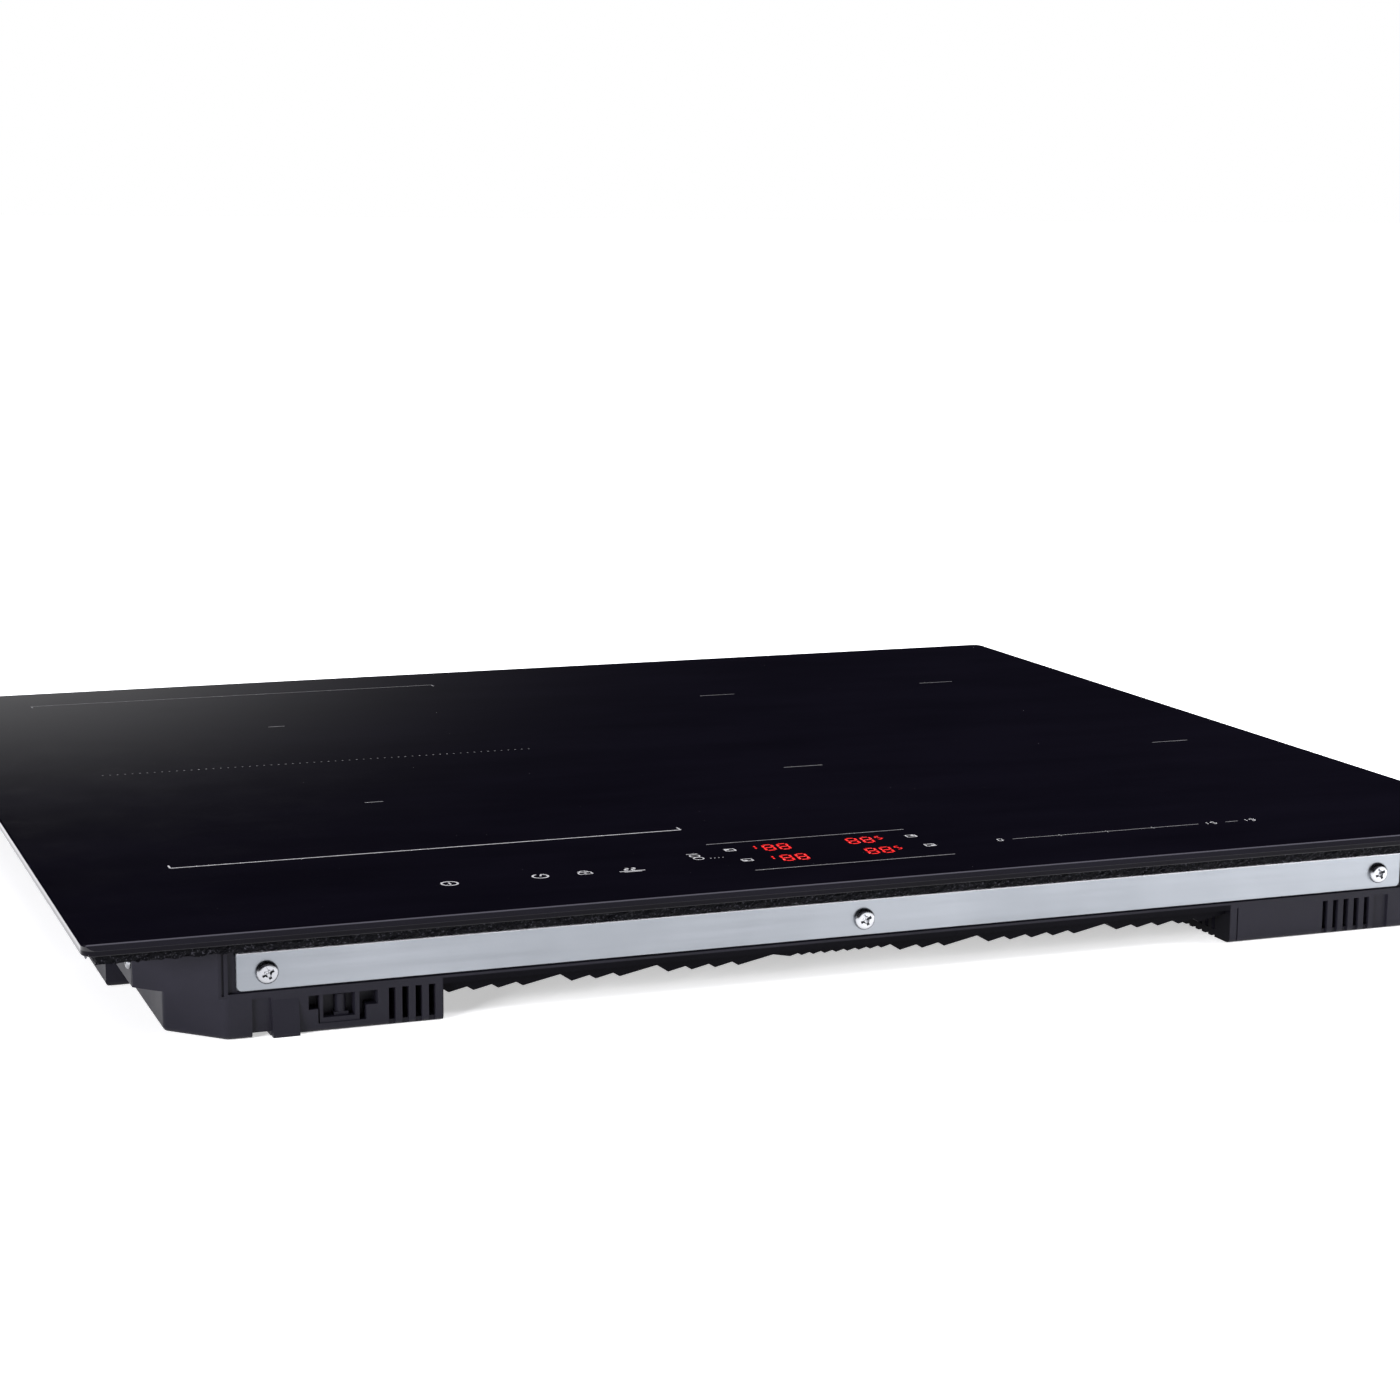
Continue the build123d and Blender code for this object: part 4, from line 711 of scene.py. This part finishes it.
def studio_floor():
    """Large plain pale floor with a matt surface."""
    mesh = bmesh.new()
    bmesh.ops.create_grid(mesh, x_segments=1, y_segments=1, size=FLOOR_SIZE / 2)
    floor = new_object("studio_floor", mesh)
    floor.location.z = -FLOOR_GAP
    material, shader = new_material("pale_floor", (0.86, 0.86, 0.87), 0.7)
    shader.inputs["Specular IOR Level"].default_value = 0.1
    shader.inputs["Emission Color"].default_value = (1, 1, 1, 1)
    shader.inputs["Emission Strength"].default_value = 0.5
    floor.data.materials.append(material)


def add_light(name, data, direction):
    """A light that shines along a direction and that gloss doesn't mirror."""
    light = bpy.data.objects.new(name, data)
    light.rotation_euler = direction.to_track_quat("-Z", "Y").to_euler()
    light.visible_glossy = False
    bpy.context.collection.objects.link(light)
    return light


def area_light(name, place, target, size, watts):
    """Soft box aimed at a point."""
    data = bpy.data.lights.new(name, "AREA")
    data.shape = "RECTANGLE"
    data.size, data.size_y = size
    data.energy = watts
    light = add_light(name, data, Vector(target) - Vector(place))
    light.location = place


def soft_sun(name, toward, strength):
    """Even light from far off, with very soft shadows; toward points to the light."""
    data = bpy.data.lights.new(name, "SUN")
    data.energy = strength
    data.angle = math.radians(SUN_SPREAD)
    add_light(name, data, -Vector(toward))


# Soft patches of the surroundings that metal and glass mirror: direction, width, height, radiance.
GLOW_PATCHES = {
    "back_left_glow": ((0.103, 0.984, 0.148), 0.113, 0.035, 0.33),
    "front_right_glow": ((0.75, -0.65, 0.12), 0.5, 0.09, 3.4),
    "left_glow": ((-0.97, -0.2, 0.2), 0.35, 0.2, 0.5),
}
# The surroundings' colour by height, from the horizon at 0 to straight up at 1.
SKY = (
    (0.0, (0.08, 0.08, 0.09)),
    (0.06, (0.0075, 0.007, 0.012)),
    (0.28, (0.0075, 0.007, 0.012)),
    (0.45, (0.03, 0.03, 0.036)),
    (0.85, (0.5, 0.49, 0.58)),
)


def math_node(tree, operation, *values):
    """A maths node fed with sockets or numbers."""
    made = tree.nodes.new("ShaderNodeMath")
    made.operation = operation
    for socket, value in zip(made.inputs, values):
        if isinstance(value, (int, float)):
            socket.default_value = value
        else:
            tree.links.new(value, socket)
    return made.outputs[0]


def vector_node(tree, operation, source, constant):
    """A vector maths node fed with a socket and a constant."""
    made = tree.nodes.new("ShaderNodeVectorMath")
    made.operation = operation
    tree.links.new(source, made.inputs[0])
    made.inputs[1].default_value = constant
    return made.outputs


def sky_ramp(tree, height):
    """The surroundings' colour, looked up by height."""
    ramp = tree.nodes.new("ShaderNodeValToRGB")
    ramp.color_ramp.elements[0].position = SKY[0][0]
    ramp.color_ramp.elements[1].position = SKY[-1][0]
    for position, _ in SKY[1:-1]:
        ramp.color_ramp.elements.new(position)
    for element, (_, color) in zip(ramp.color_ramp.elements, SKY):
        element.color = (*color, 1)
    tree.links.new(height, ramp.inputs["Fac"])
    return ramp.outputs["Color"]


def glow_level(tree, view, direction, width, height, radiance):
    """Brightness of one patch: a Gaussian hill about its direction."""
    squash = Vector((1, 1, width / height))
    scaled = vector_node(tree, "MULTIPLY", view, squash)["Vector"]
    aim = Vector(direction).normalized() * squash
    distance = vector_node(tree, "DISTANCE", scaled, aim)["Value"]
    reach = math_node(tree, "DIVIDE", distance, width)
    square = math_node(tree, "MULTIPLY", reach, reach)
    fall = math_node(tree, "POWER", math.e, math_node(tree, "MULTIPLY", square, -1.0))
    return math_node(tree, "MULTIPLY", fall, radiance)


def studio_world():
    """White backdrop for the camera; everything else sees a dark studio with a bright ceiling."""
    world = bpy.data.worlds.new("studio")
    bpy.context.scene.world = world
    world.use_nodes = True
    tree = world.node_tree
    back = tree.nodes["Background"]
    view = tree.nodes.new("ShaderNodeTexCoord").outputs["Generated"]
    split = tree.nodes.new("ShaderNodeSeparateXYZ")
    tree.links.new(view, split.inputs["Vector"])
    total = sky_ramp(tree, split.outputs["Z"])
    for patch in GLOW_PATCHES.values():
        adder = tree.nodes.new("ShaderNodeMix")
        adder.data_type = "RGBA"
        adder.blend_type = "ADD"
        adder.inputs["Factor"].default_value = 1.0
        tree.links.new(total, adder.inputs["A"])
        tree.links.new(glow_level(tree, view, *patch), adder.inputs["B"])
        total = adder.outputs["Result"]
    path = tree.nodes.new("ShaderNodeLightPath")
    mix = tree.nodes.new("ShaderNodeMix")
    mix.data_type = "RGBA"
    tree.links.new(path.outputs["Is Camera Ray"], mix.inputs["Factor"])
    tree.links.new(total, mix.inputs["A"])
    mix.inputs["B"].default_value = (1, 1, 1, 1)
    tree.links.new(mix.outputs["Result"], back.inputs["Color"])
    back.inputs["Strength"].default_value = 1.0


# Camera: 21 degrees to the left of square, 10 degrees above the glass.
CAMERA_PLACE = (-0.4416, -1.2140, 0.2507)
CAMERA_YAW = 21.05
CAMERA_PITCH = 9.85
CAMERA_ROLL = 0.43
CAMERA_LENS = 73.0


def studio_camera():
    """Camera with the yaw, pitch and roll above, placed from the middle of the glass top."""
    data = bpy.data.cameras.new("camera")
    data.lens = CAMERA_LENS
    data.sensor_width = 36
    data.clip_end = 200
    camera = bpy.data.objects.new("camera", data)
    turn = Matrix.Rotation(math.radians(-CAMERA_YAW), 4, "Z")
    tilt = Matrix.Rotation(math.radians(90 - CAMERA_PITCH), 4, "X")
    roll = Matrix.Rotation(math.radians(CAMERA_ROLL), 4, "Z")
    place = Vector(CAMERA_PLACE) + Vector((0, 0, GLASS_TOP))
    camera.matrix_world = Matrix.Translation(place) @ turn @ tilt @ roll
    bpy.context.collection.objects.link(camera)
    bpy.context.scene.camera = camera


studio_floor()
studio_world()
soft_sun("even_overhead", SUN_DIRECTION, SUN_STRENGTH)
for light_name, light_values in SOFT_BOXES.items():
    area_light(light_name, *light_values)
studio_camera()
bpy.context.scene.view_settings.view_transform = "Standard"
